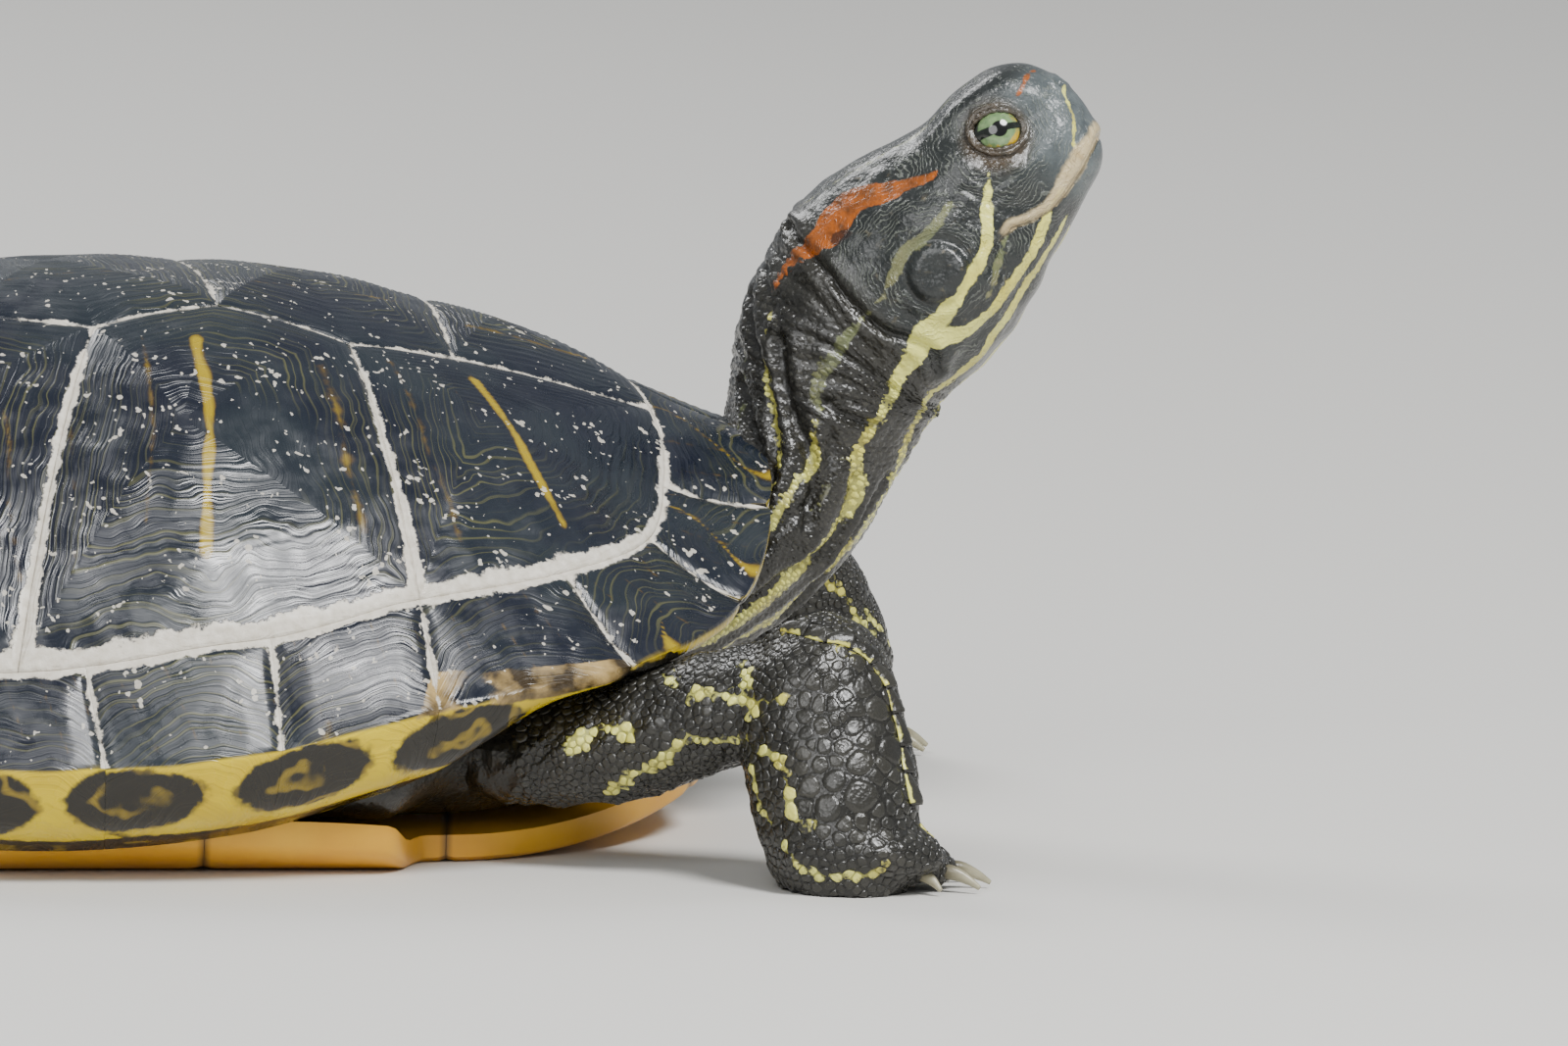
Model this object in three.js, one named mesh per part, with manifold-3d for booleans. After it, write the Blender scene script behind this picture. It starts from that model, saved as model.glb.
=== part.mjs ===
// Red-eared slider, life size: a basking adult with its head raised and turned a little to its right.
// Millimetres. +X is forward, +Y the animal's left, +Z up. The origin is on the floor, under the plastron.
import * as THREE from "three";
import { mergeVertices } from "three/addons/utils/BufferGeometryUtils.js";
import Module from "manifold-3d";

const wasm = await Module();
wasm.setup();

// ---- Driving dimensions ----
const gap = 0.3; // clear space between touching pieces
const scuteThickness = 3;

const shell = {
  centreX: 14, // the crown of the dome, ahead of mid-length
  front: 107.5, // crown to the front rim
  rear: 134,
  halfWidth: 89,
  crown: 92, // height of the dome over the floor
  frontSquareness: 2.5,
  rearSquareness: 2.25,
  profilePower: 2.4, // how flat the dome is near its crown
};

// Seams between the marginal scutes, from the nuchal scute round to the rear midline.
const seams = {
  rimAngle: [2.7, 15, 27.7, 44.9, 65.8, 82.2, 100.9, 117, 131, 144, 157, 168.5, 180],
  ringAngle: [2.5, 21, 29.5, 44, 63, 81.5, 103.5, 118, 131, 143, 155.5, 168, 180],
  rimHeight: [66, 56, 43, 35, 29.5, 23, 20, 20, 22.5, 26.5, 29.5, 31.5, 32],
  ringReach: [0.815, 0.845, 0.86, 0.852, 0.86, 0.885, 0.9, 0.9, 0.885, 0.872, 0.865, 0.862, 0.86],
};

// The midline: where each vertebral scute starts, and its half width there and at its side corner.
const vertebrals = {
  seamX: [101, 66, 26, -16, -57],
  cornerHalf: [13, 24, 25, 24, 18],
  sideX: [null, 47, 4, -37, null],
  sideHalf: [null, 31, 32, 30, null],
};
const frontFanAngle = 9; // where the first vertebral scute's front corners meet the marginals
const rearFanAngle = 160; // and the last one's rear corners
const costalSeamAngle = [63, 111, 137]; // where the seams between costals meet the marginals

const plastron = {
  notchFront: 57, // the axillary notch
  notchRear: -45,
  tipFront: 115,
  tipRear: -107,
  lobeHalf: 57,
  rearLobeHalf: 54,
  flatHalf: 62, // beyond this the bridge curves up
  bridgeRise: 4.8,
  upturn: 10, // rise of the front lobe's tip
  upturnStart: 64,
  thickness: 6.5,
  edgeThickness: 4.6,
  seamMid: [98, 72, 30, -22, -62],
  seamEdge: [108, 60, 16, -42, -74],
};

const bridge = { frontStart: 47, frontFull: 66, rearFull: 114, rearEnd: 132, drop: 15.2, inset: 13 };

// Neck in the body's frame: x, y, z, then half sizes to the nape, the throat and the side.
const neckRows = [
  [86, 0, 33, 16, 15, 23],
  [101, 0, 36.5, 16, 15, 23],
  [113.5, -0.5, 43, 13.5, 15.5, 22.5],
  [124, -1, 53, 12.5, 16.2, 20.5],
  [131.3, -1.5, 65.5, 15, 16.4, 18],
  [136, -2, 77.2, 18.8, 18.6, 18],
];

// The head has its own frame: origin between the ear drums, x to the snout, z to the crown.
const head = {
  origin: [150, -6, 95.9],
  pitch: 41,
  yaw: 20,
  // x, height of the widest line, crown, underside, half width
  rows: [
    [-14, -1, 19.6, -20.5, 18.2],
    [-5, -1.5, 19.6, -20.3, 18.4],
    [4, -1, 18.1, -18.2, 17.6],
    [12, 1, 16.6, -15, 15],
    [18.5, 3, 17.6, -12.2, 12.4],
    [25, 3, 17.2, -9.8, 9.9],
    [30.2, 2.8, 14.6, -7.6, 7.5],
    [32.9, 3.2, 10.8, -4.4, 4.8],
    [34.2, 4, 7, 0.5, 1.6],
  ],
};
const mouth = {
  // side view of the cut that frees the lower jaw: front, corner of the mouth, jaw joint, throat
  line: [[42, 0.5], [33.1, -1.2], [28, -4.4], [20.2, -6.9], [14, -5.8], [8, -9], [2, -28]],
};
const eye = { x: 20.9, side: 6.6, z: 7.6, radius: 5.2 };
const ear = { x: 0.8, z: -3.8, radius: 5.8, side: 17.2, rise: 1.2 };
const nostril = { x: 33.4, side: 1.9, z: 8, radius: 0.8 };

// Limbs: x, y, z, half size in the animal's vertical plane, half size sideways. Written for the right side.
const nearForeleg = {
  upper: [[60, -48, 18.5, 8.5, 9], [74, -57, 19, 9.5, 11], [88, -64, 21.5, 10.2, 12], [103, -72, 27.5, 9.8, 12], [118, -79, 31, 10.5, 10]],
  lower: [[113, -76, 41.5, 6, 7], [115.5, -79, 35, 12.5, 11.5], [117, -84, 24, 14.2, 12], [118.5, -88.5, 12.5, 14, 12.4], [119.3, -90, 4, 12.4, 12.4], [119.3, -90, -2, 9.5, 9.5]],
  hand: [[109, -89, 5, 5, 9], [118, -90, 7, 8, 13], [126, -89.5, 7, 6.4, 13.4], [133, -88.5, 6, 3.8, 11]],
  palm: [125, -88.5, 6.4],
  toward: 2,
  spread: 96,
  reach: [14, 18, 19.5, 18.5, 15],
  toeSize: 3.3,
};
const farForeleg = {
  upper: [[60, -48, 18.5, 8.5, 9], [76, -57, 21.5, 9.5, 11], [94, -65, 27, 10, 12], [112, -72, 33, 10, 12], [129, -77, 37, 10, 10]],
  lower: [[124, -74, 46, 6, 7], [133, -76, 40, 12, 11], [144.5, -79, 29, 12.3, 11.5], [152.5, -81, 17, 11, 12], [154, -82, 7, 9.5, 11.8], [153.5, -82, -2, 7, 9]],
  hand: [[143, -81, 5, 5, 9], [151, -82, 6.5, 7.6, 12.6], [158, -82.5, 6.4, 5.8, 13], [163.5, -83, 5.4, 3.6, 11]],
  palm: [153.5, -82.5, 6],
  toward: 0,
  spread: 96,
  reach: [12.5, 15.5, 17, 16.5, 14],
  toeSize: 3.2,
};
const hindleg = {
  upper: [[-50, -34, 18, 9, 11], [-62, -46, 17, 9.5, 13], [-74, -60, 16, 9.5, 14.5], [-86, -72, 15, 10.5, 14], [-93, -78, 14.5, 8, 10]],
  lower: [[-80, -72, 14, 8, 9], [-88, -77, 14, 11, 13], [-98, -83, 11.5, 10.5, 12], [-107, -89, 7.5, 8.5, 10.5], [-113, -93, 4, 5, 8]],
  hand: [[-99, -84, 5, 5, 7], [-108, -89, 6, 7, 11.5], [-119, -97, 4.6, 5.4, 16], [-128, -104, 2.8, 3, 15]],
  palm: [-120, -97.5, 4],
  toward: 142,
  spread: 70,
  reach: [20, 24, 25, 21],
  toeSize: 3.1,
};
// Tail: x, y, z, then half sizes up, down and sideways.
const tailRows = [
  [-82, 0, 20, 12, 11, 15],
  [-96, 0, 19.5, 11, 11, 13],
  [-108, 1, 17, 9, 9, 10],
  [-121, 4, 12, 6.5, 6.5, 7],
  [-134, 9, 6.8, 4, 4, 4.2],
  [-144, 14, 3.4, 1.6, 1.8, 1.7],
];

// ---- Numbers along a curve ----
const radians = THREE.MathUtils.degToRad;
const mix = (a, b, f) => a + (b - a) * f;
const step = (x, low, high) => THREE.MathUtils.smoothstep(x, Math.min(low, high), Math.max(low, high));

// A smooth row of numbers at t, which counts the rows from 0.
function through(rows, t) {
  const last = rows.length - 1;
  const k = Math.min(Math.floor(t), last - 1);
  const f = t - k;
  const row = (i) => rows[THREE.MathUtils.clamp(i, 0, last)];
  return rows[k].map((_, c) => {
    const [a, b, d, e] = [-1, 0, 1, 2].map((i) => row(k + i)[c]);
    return b + 0.5 * f * (d - a + f * (2 * a - 5 * b + 4 * d - e + f * (3 * (b - d) + e - a)));
  });
}

// The value of a list of numbers at an angle, given the angles that the numbers stand at.
function around(values, angles, degrees) {
  const angle = THREE.MathUtils.clamp(Math.abs(degrees), angles[0], 180);
  const k = Math.max(0, angles.findLastIndex((a, i) => a <= angle && i < angles.length - 1));
  const t = k + (angle - angles[k]) / (angles[k + 1] - angles[k]);
  return through(values.map((v) => [v]), t)[0];
}

// ---- Solids ----
function geometryOf(vertices, faces) {
  const geometry = new THREE.BufferGeometry();
  geometry.setAttribute("position", new THREE.Float32BufferAttribute(vertices.flat(), 3));
  geometry.setIndex(faces.flat());
  return geometry;
}

function toSolid(source) {
  let geometry = source.clone();
  geometry.deleteAttribute("normal");
  geometry.deleteAttribute("uv");
  geometry = mergeVertices(geometry, 1e-4);
  return new wasm.Manifold(
    new wasm.Mesh({
      numProp: 3,
      vertProperties: geometry.attributes.position.array,
      triVerts: new Uint32Array(geometry.index.array),
    }),
  );
}

function fromSolid(solid) {
  const mesh = solid.getMesh();
  const geometry = new THREE.BufferGeometry();
  geometry.setAttribute("position", new THREE.BufferAttribute(new Float32Array(mesh.vertProperties), 3));
  geometry.setIndex(new THREE.BufferAttribute(new Uint32Array(mesh.triVerts), 1));
  return geometry;
}

// Closed rings of equal length, skinned one to the next and capped with a fan at each end.
function skinRings(rings) {
  const n = rings[0].length;
  const vertices = rings.flat();
  const faces = [];
  for (let r = 0; r + 1 < rings.length; r++) {
    for (let i = 0; i < n; i++) {
      const [a, b] = [r * n + i, r * n + ((i + 1) % n)];
      faces.push([a, b, a + n], [b, b + n, a + n]);
    }
  }
  for (const [first, turn] of [[0, true], [(rings.length - 1) * n, false]]) {
    const ring = vertices.slice(first, first + n);
    const centre = vertices.push([0, 1, 2].map((c) => ring.reduce((sum, p) => sum + p[c] / n, 0))) - 1;
    for (let i = 0; i < n; i++) {
      const [a, b] = [first + i, first + ((i + 1) % n)];
      faces.push(turn ? [b, a, centre] : [a, b, centre]);
    }
  }
  return geometryOf(vertices, faces);
}

// A loft through rows of x, y, z and half sizes up, down and sideways. Rings stand square to the path.
function loft(rows, { sides = 12, rings = 8, from = 0, to = rows.length - 1, square = 1, grow = 0 }) {
  const at = (t) => new THREE.Vector3(...through(rows, t).slice(0, 3));
  const made = [];
  for (let r = 0; r <= rings; r++) {
    const t = mix(from, to, r / rings);
    const [up, down, side] = through(rows, t).slice(3);
    const along = at(Math.min(t + 0.05, rows.length - 1)).sub(at(Math.max(t - 0.05, 0))).normalize();
    const left = new THREE.Vector3(0, 0, 1).cross(along).normalize();
    const over = along.clone().cross(left);
    const ring = [];
    for (let i = 0; i < sides; i++) {
      const turn = (2 * Math.PI * i) / sides;
      const power = (v) => Math.sign(v) * Math.abs(v) ** square;
      const height = power(Math.cos(turn)) * ((Math.cos(turn) > 0 ? up : down) + grow);
      const point = at(t).addScaledVector(over, height);
      point.addScaledVector(left, -power(Math.sin(turn)) * (side + grow));
      ring.push(point.toArray());
    }
    made.push(ring);
  }
  return toSolid(skinRings(made));
}

// A limb segment: rings stand square to the path, with one axis kept in the animal's vertical plane.
function limb(rows, { sides = 10, rings = 6, grow = 0 }) {
  const at = (t) => new THREE.Vector3(...through(rows, t).slice(0, 3));
  const outward = new THREE.Vector3(0, -1, 0);
  const made = [];
  for (let r = 0; r <= rings; r++) {
    const t = (r / rings) * (rows.length - 1);
    const [tall, wide] = through(rows, t).slice(3);
    const along = at(Math.min(t + 0.05, rows.length - 1)).sub(at(Math.max(t - 0.05, 0))).normalize();
    const over = outward.clone().cross(along).normalize();
    const beside = along.clone().cross(over);
    const ring = [];
    for (let i = 0; i < sides; i++) {
      const turn = (2 * Math.PI * i) / sides;
      const point = at(t).addScaledVector(over, Math.cos(turn) * (tall + grow));
      point.addScaledVector(beside, Math.sin(turn) * (wide + grow));
      ring.push(point.toArray());
    }
    made.push(ring);
  }
  return toSolid(skinRings(made));
}

const mirrorY = (solid) => solid.mirror([0, 1, 0]);
const union = (solids) => solids.reduce((sum, one) => sum.add(one));
const largest = (solid) => solid.decompose().reduce((best, one) => (one.volume() > best.volume() ? one : best));
const floorBlock = toSolid(new THREE.BoxGeometry(600, 600, 100).translate(0, 0, -50));

// ---- The dome ----
function rimRadius(degrees) {
  const [c, s] = [Math.cos(radians(degrees)), Math.sin(radians(degrees))];
  const [length, power] = c > 0 ? [shell.front, shell.frontSquareness] : [shell.rear, shell.rearSquareness];
  const outline = (Math.abs(c / length) ** power + Math.abs(s / shell.halfWidth) ** power) ** (-1 / power);
  const nuchalNotch = 1 - 0.022 * Math.exp(-((degrees / 7) ** 2));
  return outline * nuchalNotch;
}

const rimHeight = (degrees) => around(seams.rimHeight, seams.rimAngle, degrees);
const ringReach = (degrees) => around(seams.ringReach, seams.ringAngle, degrees);

// The outer surface at an angle from the nose and a reach from 0 at the crown to 1 at the rim.
function domePoint(degrees, reach) {
  const radius = rimRadius(degrees) * reach;
  const lean = Math.abs(Math.cos(radians(degrees)));
  const fall = 0.95 + (Math.abs(degrees) < 90 ? 0.42 * lean ** 0.8 : 0.3 * lean);
  const low = rimHeight(degrees);
  return new THREE.Vector3(
    shell.centreX + radius * Math.cos(radians(degrees)),
    radius * Math.sin(radians(degrees)),
    low + (shell.crown - low) * (1 - reach ** shell.profilePower) ** fall,
  );
}

function domeOver(x, y) {
  const degrees = THREE.MathUtils.radToDeg(Math.atan2(y, x - shell.centreX));
  return domePoint(degrees, Math.min(0.999, Math.hypot(x - shell.centreX, y) / rimRadius(degrees)));
}

// The dome sunk by a depth along its own normal.
function domeInside(x, y, depth) {
  const reach = 0.5;
  const slopeX = domeOver(x + reach, y).z - domeOver(x - reach, y).z;
  const slopeY = domeOver(x, y + reach).z - domeOver(x, y - reach).z;
  const normal = new THREE.Vector3(-slopeX, -slopeY, 2 * reach).normalize();
  return domeOver(x, y).addScaledVector(normal, -depth);
}

// ---- Scutes inside the marginal ring ----
const ringPlan = (degrees) => {
  const p = domePoint(degrees, ringReach(degrees));
  return [p.x, p.y];
};

// A straight seam in plan, without its last point.
const seam = (a, b, pieces) => Array.from({ length: pieces }, (_, i) => [0, 1].map((c) => mix(a[c], b[c], i / pieces)));

// The ring's seam between two angles, without its last point.
const ringSeam = (from, to, pieces) => Array.from({ length: pieces }, (_, i) => ringPlan(mix(from, to, i / pieces)));

// A plan outline shrunk by half the gap, so that neighbours stay clear of each other.
function inset(outline, by) {
  return outline.map((p, i) => {
    const [before, after] = [outline.at(i - 1), outline[(i + 1) % outline.length]];
    const inward = (a, b) => new THREE.Vector2(a[1] - b[1], b[0] - a[0]).normalize();
    const [n1, n2] = [inward(before, p), inward(p, after)];
    const shift = n1.clone().add(n2).multiplyScalar(by / Math.max(0.4, 1 + n1.dot(n2)));
    return [p[0] + shift.x, p[1] + shift.y];
  });
}

// A curved plate over an outline that runs anticlockwise in plan, ringed about its middle like growth rings.
function scute(outline, topRings = 2, bulge = 0.7) {
  const edge = inset(outline, gap / 2);
  const n = edge.length;
  const middle = [0, 1].map((c) => edge.reduce((sum, p) => sum + p[c] / n, 0));
  const vertices = [];
  const faces = [];
  const layer = (depthAt, rings, turn) => {
    const centre = vertices.push(domeInside(...middle, depthAt(0)).toArray()) - 1;
    for (let r = 1; r <= rings; r++) {
      for (const p of edge) {
        const q = [0, 1].map((c) => mix(middle[c], p[c], r / rings));
        vertices.push(domeInside(...q, depthAt(r / rings)).toArray());
      }
    }
    for (let i = 0; i < n; i++) {
      const j = (i + 1) % n;
      faces.push(turn ? [centre, centre + 1 + j, centre + 1 + i] : [centre, centre + 1 + i, centre + 1 + j]);
      for (let r = 0; r + 1 < rings; r++) {
        const [a, b] = [centre + 1 + r * n + i, centre + 1 + r * n + j];
        faces.push(...(turn ? [[a, b, a + n], [b, b + n, a + n]] : [[a, a + n, b], [b, a + n, b + n]]));
      }
    }
    return centre + 1 + (rings - 1) * n;
  };
  const top = layer((f) => -bulge * (1 - f ** 3), topRings, false);
  const under = layer(() => scuteThickness, 1, true);
  for (let i = 0; i < n; i++) {
    const j = (i + 1) % n;
    faces.push([top + i, under + i, top + j], [top + j, under + i, under + j]);
  }
  return geometryOf(vertices, faces);
}

const mirrored = (outline) => outline.map(([x, y]) => [x, -y]).reverse();

// Corners of the vertebral row on the left side: a seam's end, or the side corner where a costal seam starts.
const vertebralCorner = (k) => [vertebrals.seamX[k], vertebrals.cornerHalf[k]];
const sideCorner = (k) => [vertebrals.sideX[k], vertebrals.sideHalf[k]];

// Straight seams through a list of corners, without the last corner.
const seamsThrough = (corners, pieces) => corners.slice(1).flatMap((p, i) => seam(corners[i], p, pieces));

function vertebralOutline(k) {
  const right = ([x, y]) => [x, -y];
  if (k === 0) {
    const [front, rear] = [ringPlan(frontFanAngle), vertebralCorner(1)];
    const fan = [-frontFanAngle, -seams.ringAngle[0], 0, seams.ringAngle[0]];
    return [...seamsThrough([front, rear, right(rear), right(front)], 4), ...fan.map(ringPlan)];
  }
  if (k === 4) {
    const [front, rear] = [vertebralCorner(4), ringPlan(rearFanAngle)];
    return [...seamsThrough([right(rear), right(front), front, rear], 4), ...ringSeam(rearFanAngle, 360 - rearFanAngle, 5)];
  }
  const side = [vertebralCorner(k), sideCorner(k), vertebralCorner(k + 1)];
  const path = [...side, ...side.map(right).reverse()];
  return seamsThrough([...path, path[0]], 3);
}

function costalOutline(k) {
  const from = k === 0 ? frontFanAngle : costalSeamAngle[k - 1];
  const to = costalSeamAngle[k] ?? rearFanAngle;
  const inner = [
    [vertebralCorner(1), sideCorner(1)],
    [sideCorner(1), vertebralCorner(2), sideCorner(2)],
    [sideCorner(2), vertebralCorner(3), sideCorner(3)],
    [sideCorner(3), vertebralCorner(4)],
  ][k];
  return [...ringSeam(from, to, 6), ...seamsThrough([ringPlan(to), ...inner.reverse(), ringPlan(from)], 3)];
}

// ---- Marginal scutes ----
// How far a marginal belongs to the bridge: 1 where its underside runs down to the plastron.
const bridgeShare = (degrees) =>
  step(Math.abs(degrees), bridge.frontStart, bridge.frontFull) * (1 - step(Math.abs(degrees), bridge.rearFull, bridge.rearEnd));

// A slice through a marginal, from its upper seam over the rim to its inner wall. It can be grown underneath.
function marginalSection(ringDegrees, rimDegrees, grow = 0) {
  const ringAt = ringReach(ringDegrees);
  const start = ringAt + (gap / 2 - grow) / rimRadius(ringDegrees);
  const outer = [0, 0.5, 1].map((g) => domePoint(mix(ringDegrees, rimDegrees, g), mix(start, 1, g)));
  const away = new THREE.Vector3(Math.cos(radians(rimDegrees)), Math.sin(radians(rimDegrees)), 0);
  const rim = outer[2];
  if (grow) rim.addScaledVector(away, grow);
  const share = bridgeShare(rimDegrees);
  const below = (inward, drop) => rim.clone().addScaledVector(away, -inward).setZ(rim.z - drop - grow);
  const foot = below(bridge.inset + 3 * grow, mix(0.5, bridge.drop, share));
  const heel = foot.clone().setZ(foot.z + mix(2.2, plastron.edgeThickness, share));
  const lip = below(mix(0.8, 0.3, share), 2.2);
  const middle = below(mix(6, 4, share), mix(2.4, 10.5, share));
  const inside = domeInside(outer[0].x, outer[0].y, scuteThickness + 3 * grow);
  return [...outer, lip, middle, foot, heel, inside].map((p) => p.toArray());
}

function marginal(k, stations = 3) {
  const length = radians(seams.rimAngle[k + 1] - seams.rimAngle[k]) * rimRadius(seams.rimAngle[k]);
  const trim = gap / 2 / length;
  const rings = [];
  for (let i = 0; i <= stations; i++) {
    const f = mix(trim, 1 - trim, i / stations);
    const [ring, rim] = [seams.ringAngle, seams.rimAngle].map((list) => mix(list[k], list[k + 1], f));
    rings.push(marginalSection(ring, rim));
  }
  return skinRings(rings);
}

function nuchal(stations = 3) {
  const trim = gap / 2 / (rimRadius(0) * radians(seams.rimAngle[0]));
  const rings = [];
  for (let i = 0; i <= stations; i++) {
    const f = mix(-1 + trim, 1 - trim, i / stations);
    rings.push(marginalSection(seams.ringAngle[0] * f, seams.rimAngle[0] * f));
  }
  return skinRings(rings);
}

// ---- Plastron ----
const lobe = (x, notch, tip, half, power) => half * (1 - THREE.MathUtils.clamp((x - notch) / (tip - notch), 0, 1) ** power) ** (1 / power);

// Half width of the plastron at x: two rounded lobes, and the bridge that reaches the marginals.
function plastronHalf(x) {
  if (x > plastron.notchFront) return lobe(x, plastron.notchFront, plastron.tipFront, plastron.lobeHalf, 1.7);
  if (x < plastron.notchRear) return lobe(x, plastron.notchRear, plastron.tipRear, plastron.rearLobeHalf, 2.2);
  const y = bridgeEdge(x);
  const corner = step(x, plastron.notchRear, plastron.notchRear + 10) * (1 - step(x, plastron.notchFront - 10, plastron.notchFront));
  return mix(x > 0 ? plastron.lobeHalf : plastron.rearLobeHalf, y, corner);
}

// Sideways distance of the marginals' lower edge at x, less the gap.
function bridgeEdge(x) {
  let angle = 90;
  for (let i = 0; i < 12; i++) {
    const reach = rimRadius(angle) - bridge.inset - gap;
    angle = THREE.MathUtils.radToDeg(Math.acos(THREE.MathUtils.clamp((x - shell.centreX) / reach, -1, 1)));
  }
  return (rimRadius(angle) - bridge.inset - gap) * Math.sin(radians(angle));
}

function plastronUnder(x, y) {
  const upturn = plastron.upturn * (Math.max(0, x - plastron.upturnStart) / (plastron.tipFront - plastron.upturnStart)) ** 2;
  const rise = plastron.bridgeRise * (Math.max(0, Math.abs(y) - plastron.flatHalf) / (bridgeEdge(0) - plastron.flatHalf)) ** 2;
  return upturn + rise;
}

function plastronBand(front, rear, across = 10, along = 3) {
  const rings = [];
  for (let j = 0; j <= along; j++) {
    const ring = [];
    const point = (t, top) => {
      const inside = Math.abs(t);
      const [a, b] = [front, rear].map((s) => mix(s[0], s[1], inside));
      const x = mix(b + gap / 2, a - gap / 2, 1 - j / along);
      const y = t * plastronHalf(x);
      const edge = mix(plastron.thickness, plastron.edgeThickness, inside ** 2);
      return [x, y, plastronUnder(x, y) + (top ? edge : 0)];
    };
    for (let i = 0; i <= across; i++) ring.push(point(mix(-1, 1, i / across), true));
    for (let i = across; i >= 0; i--) ring.push(point(mix(-1, 1, i / across), false));
    rings.push(ring);
  }
  return skinRings(rings);
}

const bandNames = ["gular", "humeral", "pectoral", "abdominal", "femoral", "anal"];
const bands = bandNames.map((_, k) => {
  const front = k === 0 ? [plastron.tipFront, plastron.tipFront - 4] : [plastron.seamMid[k - 1], plastron.seamEdge[k - 1]];
  const rear = k === 5 ? [plastron.tipRear, plastron.tipRear + 6] : [plastron.seamMid[k], plastron.seamEdge[k]];
  return plastronBand(front, rear);
});

// Everything soft is cut clear of the shell, so that flesh and shell never share space.
const marginalRing = (() => {
  const stations = [[0, 0], [seams.ringAngle[0] / 3, seams.rimAngle[0] / 3]];
  for (let k = 0; k < 12; k++) {
    for (const f of k < 2 ? [0, 1 / 3, 2 / 3] : [0, 0.5]) stations.push([seams.ringAngle, seams.rimAngle].map((list) => mix(list[k], list[k + 1], f)));
  }
  stations.push([180, 180]);
  const left = toSolid(skinRings(stations.map(([ring, rim]) => marginalSection(ring, rim, gap * 2.5))));
  return left.add(mirrorY(left));
})();

const plastronBlock = (() => {
  const rings = [];
  for (let j = 0; j <= 16; j++) {
    const x = mix(plastron.tipRear - 2, plastron.tipFront + 2, j / 16);
    const half = plastronHalf(x) + gap * 4;
    const ring = [];
    for (let i = 0; i <= 8; i++) {
      const t = mix(1, -1, i / 8);
      const edge = mix(plastron.thickness, plastron.edgeThickness, t * t);
      ring.push([x, t * half, plastronUnder(x, t * half) + edge + gap * 3]);
    }
    rings.push([...ring, [x, -half, -9], [x, half, -9]]);
  }
  return toSolid(skinRings(rings));
})();

const clearOfShell = (solid) => largest(solid.subtract(marginalRing).subtract(plastronBlock).subtract(floorBlock));

// ---- Head ----
const headPlace = new THREE.Matrix4()
  .makeTranslation(...head.origin)
  .multiply(new THREE.Matrix4().makeRotationZ(-radians(head.yaw)))
  .multiply(new THREE.Matrix4().makeRotationY(-radians(head.pitch)));
const inHead = (x, y, z) => new THREE.Vector3(x, y, z).applyMatrix4(headPlace).toArray();

const headSolid = (() => {
  const rings = [];
  const count = 9;
  const sides = 14;
  for (let r = 0; r <= count; r++) {
    const [x, middle, crown, under, side] = through(head.rows, ((head.rows.length - 1) * r) / count);
    const ring = [];
    for (let i = 0; i < sides; i++) {
      const turn = (2 * Math.PI * i) / sides;
      const c = Math.cos(turn);
      const z = middle + Math.sign(c) * Math.abs(c) ** 0.9 * Math.abs((c > 0 ? crown : under) - middle);
      ring.push([x, -Math.sign(Math.sin(turn)) * Math.abs(Math.sin(turn)) ** 0.9 * side, z]);
    }
    rings.push(ring);
  }
  const ball = (radius, x, y, z, sharpness, flat = 1) => {
    const sphere = new THREE.SphereGeometry(radius, 2 * sharpness, sharpness);
    return toSolid(sphere.rotateX(Math.PI / 2).scale(1, flat, 1).translate(x, y, z));
  };
  const drums = [-1, 1].map((s) => ball(ear.radius, ear.x, s * (ear.side - 1), ear.z, 4, (ear.rise + 1) / ear.radius));
  const pits = [-1, 1].flatMap((s) => [
    ball(eye.radius + gap * 1.3, eye.x, s * eye.side, eye.z, 6),
    ball(nostril.radius, nostril.x, s * nostril.side, nostril.z, 3),
  ]);
  return pits.reduce((sum, pit) => sum.subtract(pit), toSolid(skinRings(rings)).add(union(drums)));
})();

// The lower jaw is what lies under the mouth line, and the head loses a little more than that.
function underMouth(drop) {
  const points = mouth.line.map(([x, z]) => new THREE.Vector2(x + drop, z - drop));
  const shape = new THREE.Shape([...points, new THREE.Vector2(60, points.at(-1).y)]);
  const prism = new THREE.ExtrudeGeometry(shape, { depth: 60, bevelEnabled: false });
  return toSolid(prism.translate(0, 0, -30).rotateX(Math.PI / 2));
}

const headParts = {
  head: headSolid.subtract(underMouth(0)),
  lower_jaw: headSolid.intersect(underMouth(gap)),
};

const neckPath = [...neckRows, [...inHead(-14, 0, -1), 20.6, 19.5, 18.2], [...inHead(-4, 0, -1), 20.6, 19.5, 18.2]];
const headSpace = toSolid(new THREE.BoxGeometry(80, 80, 80).translate(26 - gap, 0, 0).applyMatrix4(headPlace));
const neck = clearOfShell(loft(neckPath, { sides: 14, rings: 9 }).subtract(headSpace));

// ---- Limbs ----
function limbSolid(spec) {
  const segments = [
    limb(spec.upper, { sides: 9, rings: 4 }),
    limb(spec.lower, { sides: 9, rings: 4 }),
    limb(spec.hand, { sides: 8, rings: 3 }),
  ];
  const size = spec.toeSize;
  const [palmX, palmY, palmZ] = spec.palm;
  spec.reach.forEach((reach, k) => {
    const turn = radians(spec.toward + mix(spec.spread / 2, -spec.spread / 2, k / (spec.reach.length - 1)));
    const along = (share, z, high, wide) => [palmX + Math.cos(turn) * reach * share, palmY - Math.sin(turn) * reach * share, z, high, high, wide];
    const toe = [along(0, palmZ, size, size), along(0.4, palmZ * 0.85, size * 0.95, size), along(0.68, size * 0.9, size * 0.8, size * 0.8)];
    const claw = [along(0.56, size, 1.5, 1.4), along(0.8, size * 0.9, 1.1, 1), along(1, 1.2, 0.5, 0.45)];
    segments.push(loft(toe, { sides: 5, rings: 2 }), loft(claw, { sides: 4, rings: 2 }));
  });
  return union(segments);
}

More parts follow.
